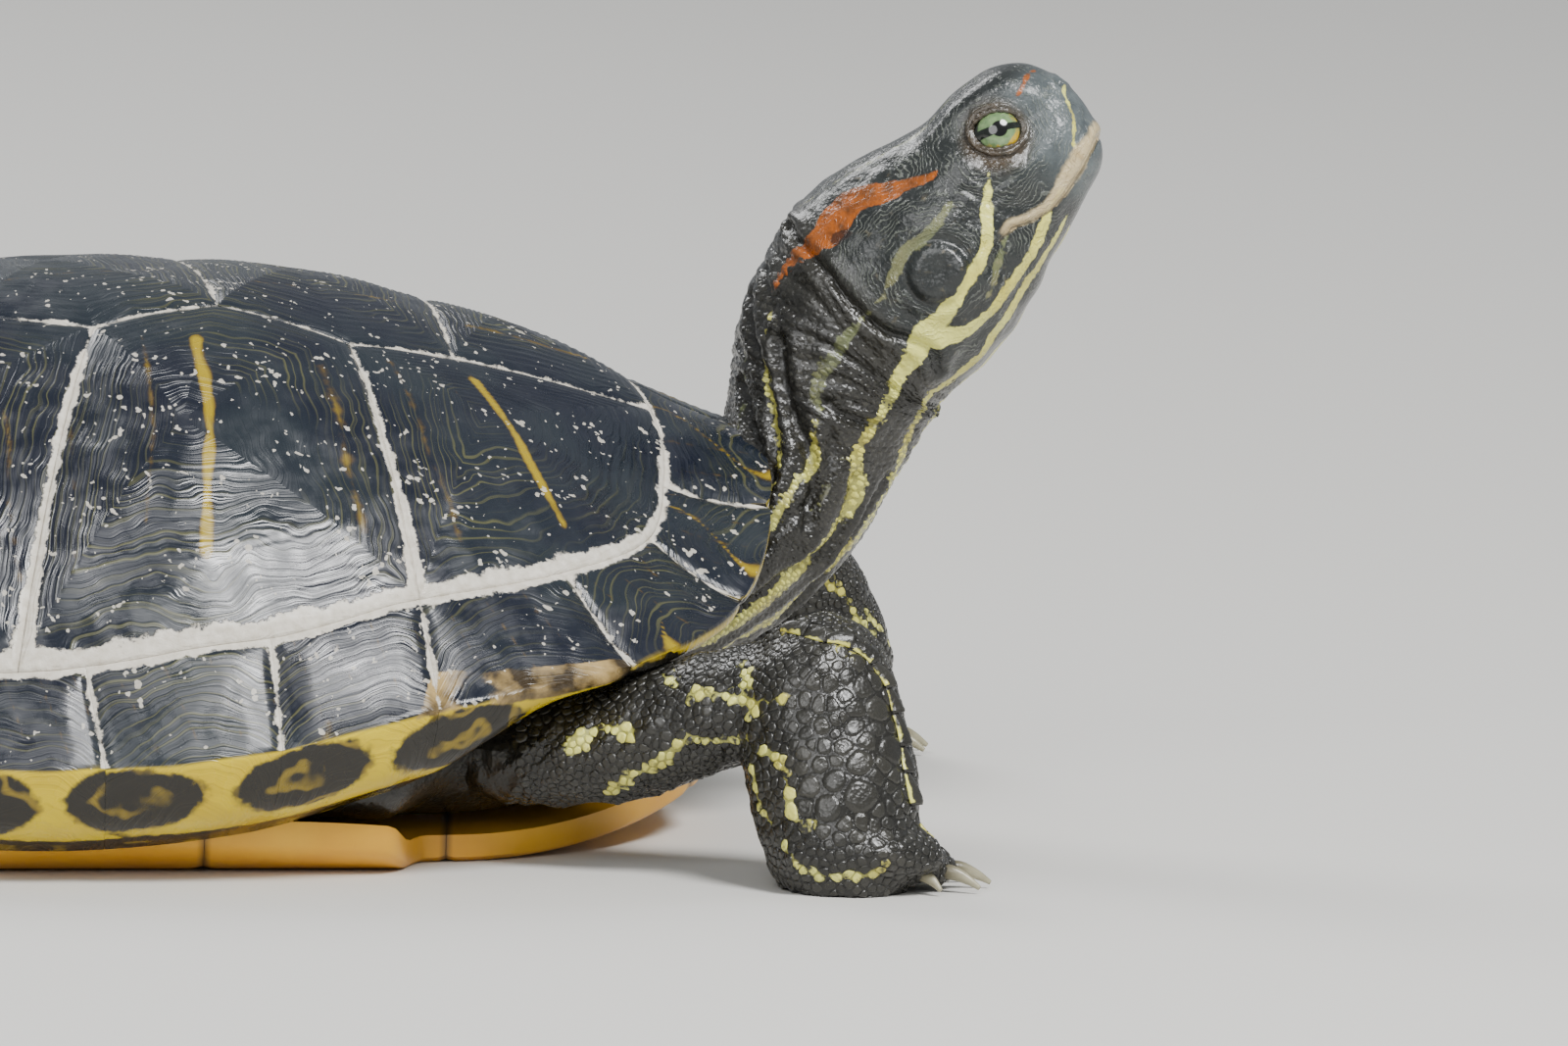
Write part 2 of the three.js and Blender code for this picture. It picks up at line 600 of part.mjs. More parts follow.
const legs = {
  foreleg_right: nearForeleg,
  foreleg_left: farForeleg,
  hindleg_right: hindleg,
  hindleg_left: hindleg,
};
const onItsSide = (name, solid) => (name.endsWith("left") ? mirrorY(solid) : solid);

const tail = clearOfShell(loft(tailRows, { sides: 10, rings: 8 }));

// ---- Trunk ----
function trunkSolid() {
  const clear = scuteThickness + 3.2; // the undersides of the scutes sag between their corners
  const rings = [];
  const count = 20;
  const lobeReach = (degrees) => {
    let r = 20;
    while (r < 140 && Math.abs(r * Math.sin(radians(degrees))) < plastronHalf(shell.centreX + r * Math.cos(radians(degrees)))) r += 1;
    return r;
  };
  const ringOf = (place) => Array.from({ length: count }, (_, i) => place((360 * i) / count - 180));
  const at = (degrees, r) => [shell.centreX + r * Math.cos(radians(degrees)), r * Math.sin(radians(degrees))];
  const wall = (degrees) => {
    const share = bridgeShare(degrees);
    return mix(rimRadius(degrees) * 0.79, rimRadius(degrees) - bridge.inset - 4, share);
  };
  const low = (degrees) => Math.min(wall(degrees), lobeReach(degrees) - 5);
  const onFloor = (degrees, r) => {
    const [x, y] = at(degrees, r);
    return [x, y, plastronUnder(x, y) + plastron.thickness + 1.5];
  };
  rings.push(ringOf((d) => onFloor(d, low(d) * 0.5)));
  rings.push(ringOf((d) => onFloor(d, low(d))));
  rings.push(ringOf((d) => [...at(d, wall(d)), mix(16, domeOver(...at(d, wall(d))).z - 14, 0.35)]));
  for (const f of [0.97, 0.75, 0.4]) {
    rings.push(ringOf((d) => domeInside(...at(d, wall(d) * f), clear).toArray()));
  }
  return toSolid(skinRings(rings));
}

// The trunk is hollowed, with room to spare, where the neck, the tail and the limbs run into it.
const pockets = [
  loft(neckPath.slice(0, 5), { sides: 8, rings: 4, grow: 2.5 }),
  loft(tailRows.slice(0, 4), { sides: 8, rings: 3, grow: 2 }),
  ...Object.entries(legs).map(([name, spec]) => onItsSide(name, limb(spec.upper, { sides: 8, rings: 3, grow: 2 }))),
];
const trunk = largest(trunkSolid().subtract(union(pockets)));

// ---- Assembly ----
const colours = {
  carapace: { color: 0x2a3226, roughness: 0.35 },
  plastron: { color: 0xd9a441, roughness: 0.5 },
  skin: { color: 0x3c4638, roughness: 0.6 },
  eye: { color: 0x8fa04a, roughness: 0.1 },
};

const turtle = new THREE.Group();
turtle.name = "red_eared_slider";

function place(name, kind, shape) {
  const geometry = shape instanceof THREE.BufferGeometry ? shape : fromSolid(shape);
  geometry.computeVertexNormals();
  const mesh = new THREE.Mesh(geometry, new THREE.MeshStandardMaterial({ ...colours[kind], metalness: 0 }));
  mesh.name = name;
  turtle.add(mesh);
}

place("nuchal", "carapace", nuchal());
for (let k = 0; k < 5; k++) place(`vertebral_${k + 1}`, "carapace", scute(vertebralOutline(k)));
for (let k = 0; k < 4; k++) {
  const left = costalOutline(k);
  place(`costal_left_${k + 1}`, "carapace", scute(left));
  place(`costal_right_${k + 1}`, "carapace", scute(mirrored(left)));
}
for (let k = 0; k < 12; k++) {
  const left = toSolid(marginal(k));
  place(`marginal_left_${k + 1}`, "carapace", left);
  place(`marginal_right_${k + 1}`, "carapace", mirrorY(left));
}

bandNames.forEach((name, k) => place(name, "plastron", bands[k]));

place("trunk", "skin", trunk);
place("neck", "skin", neck);
for (const [name, solid] of Object.entries(headParts)) place(name, "skin", fromSolid(solid).applyMatrix4(headPlace));
for (const [name, side] of [["eye_right", -1], ["eye_left", 1]]) {
  const ball = new THREE.SphereGeometry(eye.radius, 12, 8).rotateX(Math.PI / 2).translate(eye.x, side * eye.side, eye.z);
  place(name, "eye", fromSolid(toSolid(ball)).applyMatrix4(headPlace));
}
for (const [name, spec] of Object.entries(legs)) place(name, "skin", clearOfShell(onItsSide(name, limbSolid(spec))));
place("tail", "skin", tail);

export default turtle;
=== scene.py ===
# A red-eared slider at life size, dressed over its fixed frame: horn shell, scaly skin, eyes and claws.
import math
from functools import partial
import bmesh
import bpy
import numpy as np
from mathutils import Matrix, Vector
from mathutils.bvhtree import BVHTree
from mathutils.kdtree import KDTree


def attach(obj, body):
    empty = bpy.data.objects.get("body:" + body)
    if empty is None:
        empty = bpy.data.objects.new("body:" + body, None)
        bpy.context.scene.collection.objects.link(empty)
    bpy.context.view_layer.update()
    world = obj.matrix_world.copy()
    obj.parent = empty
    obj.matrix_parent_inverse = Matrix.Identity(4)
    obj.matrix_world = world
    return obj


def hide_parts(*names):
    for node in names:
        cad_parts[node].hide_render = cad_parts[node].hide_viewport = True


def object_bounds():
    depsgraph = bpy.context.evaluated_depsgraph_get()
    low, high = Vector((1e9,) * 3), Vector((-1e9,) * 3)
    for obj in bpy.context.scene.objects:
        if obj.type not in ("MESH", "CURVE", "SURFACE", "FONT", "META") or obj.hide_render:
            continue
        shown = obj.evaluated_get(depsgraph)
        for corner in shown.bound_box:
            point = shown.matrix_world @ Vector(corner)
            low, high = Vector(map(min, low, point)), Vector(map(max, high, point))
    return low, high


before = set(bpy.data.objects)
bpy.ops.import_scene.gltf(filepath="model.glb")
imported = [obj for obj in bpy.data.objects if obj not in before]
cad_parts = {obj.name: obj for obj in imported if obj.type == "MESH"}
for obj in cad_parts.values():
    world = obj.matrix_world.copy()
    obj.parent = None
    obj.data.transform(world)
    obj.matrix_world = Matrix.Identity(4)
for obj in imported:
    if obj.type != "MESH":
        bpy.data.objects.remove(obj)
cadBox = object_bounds()
mm = 0.001

# measures shared with the frame, in millimetres
shell = dict(centreX=14, front=107.5, rear=134, halfWidth=89, crown=92, frontSquareness=2.5,
             rearSquareness=2.25, profilePower=2.4, thickness=3)
rimAngle = [2.7, 15, 27.7, 44.9, 65.8, 82.2, 100.9, 117, 131, 144, 157, 168.5, 180]
ringAngle = [2.5, 21, 29.5, 44, 63, 81.5, 103.5, 118, 131, 143, 155.5, 168, 180]
rimHeights = [66, 56, 43, 35, 29.5, 23, 20, 20, 22.5, 26.5, 29.5, 31.5, 32]
ringReaches = [0.815, 0.845, 0.86, 0.852, 0.86, 0.885, 0.9, 0.9, 0.885, 0.872, 0.865, 0.862, 0.86]
vertebralCorners = [(101, 13), (66, 24), (26, 25), (-16, 24), (-57, 18)]
sideCorners = [None, (47, 31), (4, 32), (-37, 30)]
costalSeamAngle = [63, 111, 137]
frontFan, rearFan = 9, 160
bridge = dict(frontStart=47, frontFull=66, rearFull=114, rearEnd=132, drop=15.2, inset=13)
plastron = dict(notchFront=57, notchRear=-45, tipFront=115, tipRear=-107, lobeHalf=57, rearLobeHalf=54,
                flatHalf=62, bridgeRise=4.8, upturn=10, upturnStart=64, thickness=6.5, edgeThickness=4.6,
                seamMid=[98, 72, 30, -22, -62], seamEdge=[108, 60, 16, -42, -74])
neckRows = [[86, 0, 33, 16, 15, 23], [101, 0, 36.5, 16, 15, 23], [113.5, -0.5, 43, 13.5, 15.5, 22.5],
            [124, -1, 53, 12.5, 16.2, 20.5], [131.3, -1.5, 65.5, 15, 16.4, 18], [136, -2, 77.2, 18.8, 18.6, 18]]
head = dict(origin=(150, -6, 95.9), pitch=41, yaw=20)
headRows = [[-14, -1, 19.6, -20.5, 18.2], [-5, -1.5, 19.6, -20.3, 18.4], [4, -1, 18.1, -18.2, 17.6],
            [12, 1, 16.6, -15, 15], [18.5, 3, 17.6, -12.2, 12.4], [25, 3, 17.2, -9.8, 9.9],
            [30.2, 2.8, 14.6, -7.6, 7.5], [32.9, 3.2, 10.8, -4.4, 4.8], [34.2, 4, 7, 0.5, 1.6]]
eye = dict(x=20.9, side=6.6, z=7.6, radius=5.2)
legs = {"foreleg_right": dict(upper=[[60, -48, 18.5, 8.5, 9], [74, -57, 19, 9.5, 11], [88, -64, 21.5, 10.2, 12],
                                     [103, -72, 27.5, 9.8, 12], [118, -79, 31, 10.5, 10]],
                              lower=[[113, -76, 41.5, 6, 7], [115.5, -79, 35, 12.5, 11.5],
                                     [117, -84, 24, 14.2, 12], [118.5, -88.5, 12.5, 14, 12.4],
                                     [119.3, -90, 4, 12.4, 12.4], [119.3, -90, -2, 9.5, 9.5]],
                              hand=[[109, -89, 5, 5, 9], [118, -90, 7, 8, 13], [126, -89.5, 7, 6.4, 13.4],
                                    [133, -88.5, 6, 3.8, 11]],
                              palm=(125, -88.5, 6.4), toward=2, spread=96, reach=[14, 18, 19.5, 18.5, 15],
                              toe=3.3),
        "foreleg_left": dict(upper=[[60, -48, 18.5, 8.5, 9], [76, -57, 21.5, 9.5, 11], [94, -65, 27, 10, 12],
                                    [112, -72, 33, 10, 12], [129, -77, 37, 10, 10]],
                             lower=[[124, -74, 46, 6, 7], [133, -76, 40, 12, 11], [144.5, -79, 29, 12.3, 11.5],
                                    [152.5, -81, 17, 11, 12], [154, -82, 7, 9.5, 11.8], [153.5, -82, -2, 7, 9]],
                             hand=[[143, -81, 5, 5, 9], [151, -82, 6.5, 7.6, 12.6], [158, -82.5, 6.4, 5.8, 13],
                                   [163.5, -83, 5.4, 3.6, 11]],
                             palm=(153.5, -82.5, 6), toward=0, spread=96, reach=[12.5, 15.5, 17, 16.5, 14],
                             toe=3.2),
        "hindleg_right": dict(upper=[[-50, -34, 18, 9, 11], [-62, -46, 17, 9.5, 13], [-74, -60, 16, 9.5, 14.5],
                                     [-86, -72, 15, 10.5, 14], [-93, -78, 14.5, 8, 10]],
                              lower=[[-80, -72, 14, 8, 9], [-88, -77, 14, 11, 13], [-98, -83, 11.5, 10.5, 12],
                                     [-107, -89, 7.5, 8.5, 10.5], [-113, -93, 4, 5, 8]],
                              hand=[[-99, -84, 5, 5, 7], [-108, -89, 6, 7, 11.5], [-119, -97, 4.6, 5.4, 16],
                                    [-128, -104, 2.8, 3, 15]],
                              palm=(-120, -97.5, 4), toward=142, spread=70, reach=[20, 24, 25, 21], toe=3.1)}
legs["hindleg_left"] = legs["hindleg_right"]
tailRows = [[-82, 0, 20, 12, 11, 15], [-96, 0, 19.5, 11, 11, 13], [-108, 1, 17, 9, 9, 10],
            [-121, 4, 12, 6.5, 6.5, 7], [-134, 9, 6.8, 4, 4, 4.2], [-144, 14, 3.4, 1.6, 1.8, 1.7]]


# numbers along curves
def mix(a, b, f):
    return a + (b - a) * f


def unit(v):
    return v / np.linalg.norm(v, axis=-1, keepdims=True)


def ease(x, low, high):
    f = np.clip((np.asarray(x, float) - low) / (high - low), 0, 1)
    return f * f * (3 - 2 * f)


def bump(x, width):
    return np.exp(-(np.asarray(x, float) / width) ** 2)


def through(rows, t):
    # a smooth row of numbers at t, which counts the rows from 0
    rows = np.asarray(rows, float)
    t = np.asarray(t, float)
    k = np.clip(np.floor(t).astype(int), 0, len(rows) - 2)
    f = (t - k)[..., None]
    a, b, d, e = (rows[np.clip(k + i, 0, len(rows) - 1)] for i in (-1, 0, 1, 2))
    return b + 0.5 * f * (d - a + f * (2 * a - 5 * b + 4 * d - e + f * (3 * (b - d) + e - a)))


def around(values, angles, degrees):
    angles = np.asarray(angles, float)
    at = np.clip(np.abs(degrees), angles[0], 180)
    k = np.clip(np.searchsorted(angles, at, side="right") - 1, 0, len(angles) - 2)
    return through(np.asarray(values, float)[:, None],
                   k + (at - angles[k]) / (angles[k + 1] - angles[k]))[..., 0]


def lumps(p, size, seed=0):
    # smooth noise from -1 to 1 over points in mm: a few crossing waves whose phases wander
    p = np.asarray(p, float) / size
    if p.shape[-1] == 2:
        p = np.concatenate([p, np.zeros(p.shape[:-1] + (1,))], -1)
    r = np.random.default_rng(seed)
    total = np.zeros(p.shape[:-1])
    for _ in range(6):
        w = r.normal(size=3)
        w *= r.uniform(2.2, 5.5) / np.linalg.norm(w)
        v = r.normal(size=3)
        v *= r.uniform(1.5, 3) / np.linalg.norm(v)
        total += np.sin(p @ w + r.uniform(0, 6.3) + 1.3 * np.sin(p @ v + r.uniform(0, 6.3)))
    return total / 3.2


# meshes
def makePiece(name, points, faces, smooth=True, marks=None):
    mesh = bpy.data.meshes.new(name)
    mesh.from_pydata((np.asarray(points, float) * mm).tolist(), [], [list(map(int, f)) for f in faces])
    mesh.validate()
    piece = bpy.data.objects.new(name, mesh)
    bpy.context.scene.collection.objects.link(piece)
    if smooth:
        mesh.polygons.foreach_set("use_smooth", np.ones(len(mesh.polygons), bool))
    for key, values in (marks or {}).items():
        addMark(piece, key, values)
    return piece


def addMark(piece, key, values):
    layer = piece.data.attributes.get(key) or piece.data.attributes.new(key, "FLOAT", "POINT")
    layer.data.foreach_set("value", np.asarray(values, np.float32).ravel())


def pointsOf(piece):
    co = np.zeros(len(piece.data.vertices) * 3, np.float32)
    piece.data.vertices.foreach_get("co", co)
    return co.reshape(-1, 3).astype(float) / mm


def setPoints(piece, points):
    piece.data.vertices.foreach_set("co", (np.asarray(points) * mm).astype(np.float32).ravel())
    piece.data.update()


def normalsOf(piece):
    no = np.zeros(len(piece.data.vertices) * 3, np.float32)
    piece.data.vertex_normals.foreach_get("vector", no)
    return no.reshape(-1, 3).astype(float)


def tubeFaces(rings, sides, first=0):
    i, j = np.meshgrid(np.arange(rings - 1), np.arange(sides), indexing="ij")
    a = first + i * sides + j
    b = first + i * sides + (j + 1) % sides
    return np.stack([a, b, b + sides, a + sides], -1).reshape(-1, 4).tolist()


def closedTube(rings):
    # rings: array (count, sides, 3); both ends are closed with a fan
    count, sides = rings.shape[:2]
    points = np.concatenate([rings.reshape(-1, 3), rings[0].mean(0)[None], rings[-1].mean(0)[None]])
    faces = tubeFaces(count, sides)
    low, high, last = count * sides, count * sides + 1, (count - 1) * sides
    faces += [[(j + 1) % sides, j, low] for j in range(sides)]
    faces += [[last + j, last + (j + 1) % sides, high] for j in range(sides)]
    return points, faces


def turnOutward(piece):
    mesh = bmesh.new()
    mesh.from_mesh(piece.data)
    bmesh.ops.recalc_face_normals(mesh, faces=mesh.faces)
    mesh.to_mesh(piece.data)
    mesh.free()


def smoothUpTo(piece, degrees):
    turnOutward(piece)
    selectOnly(piece)
    bpy.ops.object.shade_smooth_by_angle(angle=math.radians(degrees))


def selectOnly(*pieces):
    bpy.ops.object.select_all(action="DESELECT")
    for piece in pieces:
        piece.select_set(True)
    bpy.context.view_layer.objects.active = pieces[0]


def joined(name, pieces):
    selectOnly(*pieces)
    bpy.ops.object.join()
    pieces[0].name = pieces[0].data.name = name
    return pieces[0]


def applied(piece, kind, **settings):
    modifier = piece.modifiers.new(kind.title(), kind)
    for key, value in settings.items():
        setattr(modifier, key, value)
    selectOnly(piece)
    bpy.ops.object.modifier_apply(modifier=modifier.name)


# the dome of the shell
def rimRadius(degrees):
    c, s = np.cos(np.radians(degrees)), np.sin(np.radians(degrees))
    length = np.where(c > 0, shell["front"], shell["rear"])
    power = np.where(c > 0, shell["frontSquareness"], shell["rearSquareness"])
    outline = (np.abs(c / length) ** power + np.abs(s / shell["halfWidth"]) ** power) ** (-1 / power)
    return outline * (1 - 0.022 * bump(degrees, 7))


def domePoint(degrees, reach):
    degrees, reach = np.asarray(degrees, float), np.asarray(reach, float)
    radius = rimRadius(degrees) * reach
    c, s = np.cos(np.radians(degrees)), np.sin(np.radians(degrees))
    lean = np.hypot(c, 0.12) - 0.06
    fall = 0.95 + mix(0.42 * lean ** 0.8, 0.3 * lean, ease(np.abs(degrees), 70, 110))
    low = around(rimHeights, rimAngle, degrees)
    height = low + (shell["crown"] - low) * np.clip(1 - reach ** shell["profilePower"], 0, 1) ** fall
    return np.stack([shell["centreX"] + radius * c, radius * s, height], -1)


def domeOver(x, y):
    degrees = np.degrees(np.arctan2(y, x - shell["centreX"]))
    return domePoint(degrees, np.minimum(0.999, np.hypot(x - shell["centreX"], y) / rimRadius(degrees)))


def domeFrame(x, y):
    # the point of the dome over a place in plan, and its outward direction
    slopeX = domeOver(x + 0.5, y)[..., 2] - domeOver(x - 0.5, y)[..., 2]
    slopeY = domeOver(x, y + 0.5)[..., 2] - domeOver(x, y - 0.5)[..., 2]
    out = np.stack([-slopeX, -slopeY, np.ones_like(slopeX)], -1)
    return domeOver(x, y), unit(out)


def ringPlan(degrees):
    return domePoint(degrees, around(ringReaches, ringAngle, degrees))[..., :2]


# head and neck
headPlace = np.array(Matrix.Translation(head["origin"]) @ Matrix.Rotation(-math.radians(head["yaw"]), 4, "Z")
                     @ Matrix.Rotation(-math.radians(head["pitch"]), 4, "Y"))


def fromHead(p):
    return np.asarray(p, float) @ headPlace[:3, :3].T + headPlace[:3, 3]


def toHead(p):
    return (np.asarray(p, float) - headPlace[:3, 3]) @ headPlace[:3, :3]


neckPath = neckRows + [[*fromHead((-14, 0, -1)), 20.6, 19.5, 18.2], [*fromHead((-4, 0, -1)), 20.6, 19.5, 18.2]]


# materials
soft, rgba = dict(interpolation_type="SMOOTHSTEP"), dict(data_type="RGBA")


def linear(hexColour):
    parts = [int(hexColour[i:i + 2], 16) / 255 for i in (1, 3, 5)]
    return [c / 12.92 if c <= 0.04045 else ((c + 0.055) / 1.055) ** 2.4 for c in parts] + [1]


def addNode(tree, kind, inputs=None, out=None, **settings):
    made = tree.nodes.new("ShaderNode" + kind)
    for key, value in settings.items():
        setattr(made, key, value)
    for key, value in (inputs or {}).items():
        if isinstance(value, bpy.types.NodeSocket):
            tree.links.new(value, made.inputs[key])
        else:
            made.inputs[key].default_value = linear(value) if isinstance(value, str) else value
    return made.outputs[out] if out else next((o for o in made.outputs if o.enabled), None)


def newMaterial(name):
    # an empty material, and what adds a node to it
    made = bpy.data.materials.new(name)
    made.use_nodes = True
    made.node_tree.nodes.clear()
    return made, partial(addNode, made.node_tree)


# in each material the noises are keyed by the size of their lumps in mm and their detail
def hornMaterial():
    # keratin scutes, smooth and wet: blue-black to olive, the blue being painted sky reflection, growth lines,
    # chalky lime dried along the seams
    made, node = newMaterial("wetHornScute")
    where = node("TexCoord", out="Object")
    noise = {(size, detail): node("TexNoise", {"Vector": where, "Scale": 1000 / size, "Detail": detail,
                                               "Roughness": rough})
             for size, detail, rough in ((26, 4, 0.5), (2.2, 4, 0.5), (14, 2, 0.5), (34, 2, 0.5), (12, 3, 0.5),
                                         (9, 2, 0.5), (7, 2, 0.5), (7, 4, 0.5), (3.4, 5, 0.7), (7, 5, 0.65),
                                         (1.6, 4, 0.5), (5, 5, 0.5))}
    grow, bar, crust, under, spot, worn = (node("Attribute", attribute_name=key, out="Fac")
                                           for key in ("grow", "bar", "crust", "under", "spot", "worn"))
    cloud = noise[26, 4]
    fine = noise[2.2, 4]
    tone = node("MapRange", {"Value": cloud, "From Min": 0.4, "From Max": 0.62}, **soft)
    # the blue in these dark horn tones is painted sky reflection
    colour = node("Mix", {0: tone, 6: "#0c1322", 7: "#1c242b"}, **rgba)
    # growth lines about 0.9 mm apart, wandering a little
    wander = node("Math", {0: noise[14, 2], 1: 9.0, 2: grow}, operation="MULTIPLY_ADD")
    line = node("TexNoise", {"W": wander, "Scale": 1.1, "Detail": 3, "Roughness": 0.6}, noise_dimensions="1D")
    lineMask = node("MapRange", {"Value": line, "From Min": 0.53, "From Max": 0.68}, **soft)
    patch = node("MapRange", {"Value": noise[34, 2], "From Min": 0.42, "From Max": 0.62, "To Max": 0.75})
    olive = node("Math", {0: lineMask, 1: patch}, operation="MULTIPLY")
    colour = node("Mix", {0: olive, 6: colour, 7: "#5d5c38"}, **rgba)
    ragged = node("Math", {0: fine, 1: 0.5, 2: bar}, operation="MULTIPLY_ADD")
    barMask = node("MapRange", {"Value": ragged, "From Min": 0.62, "From Max": 0.86, "To Max": 0.92}, **soft)
    strong = node("MapRange", {"Value": bar, "From Min": 0.45, "From Max": 0.8})
    barTint = node("Mix", {0: strong, 6: "#54401a", 7: "#a8900a"}, **rgba)
    colour = node("Mix", {0: barMask, 6: colour, 7: barTint}, **rgba)
    yellow = node("Mix", {0: noise[12, 3], 6: "#b89400", 7: "#e6cf00"}, **rgba)
    colour = node("Mix", {0: under, 6: colour, 7: yellow}, **rgba)
    spotMask = node("MapRange", {"Value": node("Math", {0: fine, 1: 0.35, 2: spot}, operation="MULTIPLY_ADD"),
                                 "From Min": 0.15, "From Max": 0.3}, **soft)
    warp = node("Math", {0: noise[9, 2], 1: 1.7, 2: spot}, operation="MULTIPLY_ADD")
    ripple = node("Math", {0: node("Math", {0: warp, 1: 9.0}, operation="MULTIPLY")}, operation="SINE")
    broken = node("MapRange", {"Value": noise[7, 2], "From Min": 0.38, "From Max": 0.5, "To Max": 0.85})
    rippleMask = node("MapRange", {"Value": ripple, "From Min": 0.55, "From Max": 0.98, "To Max": broken})
    spotTint = node("Mix", {0: rippleMask, 6: "#171309", 7: "#8a7416"}, **rgba)
    colour = node("Mix", {0: spotMask, 6: colour, 7: spotTint}, **rgba)
    wornMask = node("MapRange", {"Value": node("Math", {0: fine, 1: 0.5, 2: worn}, operation="MULTIPLY_ADD"),
                                 "From Min": 0.62, "From Max": 0.85}, **soft)
    wornPatch = node("MapRange", {"Value": noise[7, 4], "From Min": 0.4, "From Max": 0.6})
    wornTint = node("Mix", {0: wornPatch, 6: "#34270f", 7: "#b29660"}, **rgba)
    colour = node("Mix", {0: wornMask, 6: colour, 7: wornTint}, **rgba)
    # lime crust and dried specks
    chalk = noise[3.4, 5]
    edge = node("Math", {0: chalk, 1: 3.4, 2: crust}, operation="MULTIPLY_ADD")
    crustMask = node("MapRange", {"Value": edge, "From Min": 1.75, "From Max": 2.1}, **soft)
    shake = node("TexNoise", {"Vector": where, "Scale": 400.0}, out="Color")
    shake = node("VectorMath", {0: shake, "Scale": 0.003}, operation="SCALE")
    bent = node("VectorMath", {0: where, 1: shake}, operation="ADD")
    speck = node("TexVoronoi", {"Vector": bent, "Scale": 560.0, "Randomness": 1.0}, out="Distance")
    speckSize = node("MapRange", {"Value": noise[7, 5], "From Min": 0.44, "From Max": 0.66, "To Max": 0.36})
    speckMask = node("Math", {0: speck, 1: speckSize}, operation="LESS_THAN")
    above = node("MapRange", {"Value": under, "To Min": 0.7, "To Max": 0.0})
    speckSoft = node("Math", {0: speckMask, 1: above}, operation="MULTIPLY")
    lime = node("Math", {0: crustMask, 1: speckSoft}, operation="MAXIMUM")
    limeTint = node("Mix", {0: noise[1.6, 4], 6: "#b3a994", 7: "#f6f1e6"}, **rgba)
    colour = node("Mix", {0: lime, 6: colour, 7: limeTint}, **rgba)
    smear = node("MapRange", {"Value": noise[5, 5], "From Min": 0.35, "From Max": 0.7, "To Min": 0.16,
                              "To Max": 0.46})
    rough = node("Mix", {0: lime, 2: smear, 3: 0.9}, data_type="FLOAT")
    height = node("Math", {0: crustMask, 1: chalk}, operation="MULTIPLY")
    height = node("Math", {0: height, 1: 2.2, 2: line}, operation="MULTIPLY_ADD")
    normal = node("Bump", {"Height": height, "Strength": 0.55, "Distance": 0.0004})
    surface = node("BsdfPrincipled", {"Base Color": colour, "Roughness": rough, "IOR": 1.55, "Normal": normal,
                                      "Coat Weight": 0.15, "Coat Roughness": 0.12})
    node("OutputMaterial", {"Surface": surface})
    return made


def plastronMaterial():
    # the belly plates: waxy yellow horn with smoky blotches
    made, node = newMaterial("yellowBellyHorn")
    where = node("TexCoord", out="Object")
    noise = {(size, detail): node("TexNoise", {"Vector": where, "Scale": 1000 / size, "Detail": detail})
             for size, detail in ((14, 4), (5, 3), (1.4, 4), (7, 4))}
    spot = node("Attribute", attribute_name="spot", out="Fac")
    crust = node("Attribute", attribute_name="crust", out="Fac")
    colour = node("Mix", {0: noise[14, 4], 6: "#cc8608", 7: "#ecb936"}, **rgba)
    smoke = node("Math", {0: noise[5, 3], 1: 0.5, 2: spot}, operation="MULTIPLY_ADD")
    mask = node("MapRange", {"Value": smoke, "From Min": 0.6, "From Max": 0.95, "To Max": 0.88}, **soft)
    colour = node("Mix", {0: mask, 6: colour, 7: "#2b2417"}, **rgba)
    seamMask = node("MapRange", {"Value": crust, "From Min": -1.2, "From Max": 0.2})
    colour = node("Mix", {0: seamMask, 6: colour, 7: "#5d4322"}, **rgba)
    normal = node("Bump", {"Height": noise[1.4, 4], "Strength": 0.25, "Distance": 0.0002})
    rough = node("MapRange", {"Value": noise[7, 4], "To Min": 0.25, "To Max": 0.6})
    surface = node("BsdfPrincipled", {"Base Color": colour, "Roughness": rough, "IOR": 1.55, "Normal": normal})
    node("OutputMaterial", {"Surface": surface})
    return made


horn = hornMaterial()
bellyHorn = plastronMaterial()


def dress(piece, material, slot, *nodes):
    piece.data.materials.clear()
    piece.data.materials.append(material)
    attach(piece, "root")
    if nodes:
        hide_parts(*nodes)


# the scutes of the dome
scuteLook = dict(steps=46, sideStep=1.0, bulge=0.7, groove=0.38, grooveWidth=0.8, ripple=0.08,
                 rippleSpacing=1.6)
# light bars on the left costals: start, end, half width, all in plan; the right side mirrors them
costalBars = {1: [((68, 30.5), (79, 54), 1.0, 1.0), ((53, 34), (60, 64), 1.3, 0.5),
                  ((78, 27), (88, 44), 0.5, 0.42),
                  ((62, 32), (71, 58), 0.5, 0.42)],
              2: [((20.8, 37), (17, 70), 1.0, 1.0), ((40, 40), (43, 66), 1.5, 0.52),
                  ((12, 36), (7, 66), 1.0, 0.5),
                  ((0, 38), (-6, 70), 0.9, 0.45)],
              3: [((-25, 37), (-32, 72), 1.1, 0.9), ((-14, 36), (-15, 70), 1.0, 0.5),
                  ((-36, 36), (-48, 66), 0.9, 0.45)],
              4: [((-62, 26), (-82, 52), 1.0, 0.9), ((-50, 32), (-62, 62), 0.9, 0.5)]}
vertebralBars = {1: [((98, 4), (70, 12), 0.7, 0.55)], 2: [((60, 10), (32, 14), 0.7, 0.5)],
                 3: [((20, 9), (-12, 14), 0.7, 0.5)],
                 4: [((-20, 9), (-54, 8), 0.7, 0.5)], 5: [((-62, 8), (-94, 20), 0.8, 0.6)]}


def segmentDistance(points, a, b):
    a, b = np.asarray(a, float), np.asarray(b, float)
    f = np.clip((points - a) @ (b - a) / max(1e-9, (b - a) @ (b - a)), 0, 1)
    return np.linalg.norm(points - a - f[..., None] * (b - a), axis=-1)


def closedDistance(points, outline):
    # distance in plan to the nearest side of a closed outline
    best = np.full(len(points), 1e9)
    for a, b in zip(outline, np.roll(outline, -1, 0)):
        best = np.minimum(best, segmentDistance(points, a, b))
    return best


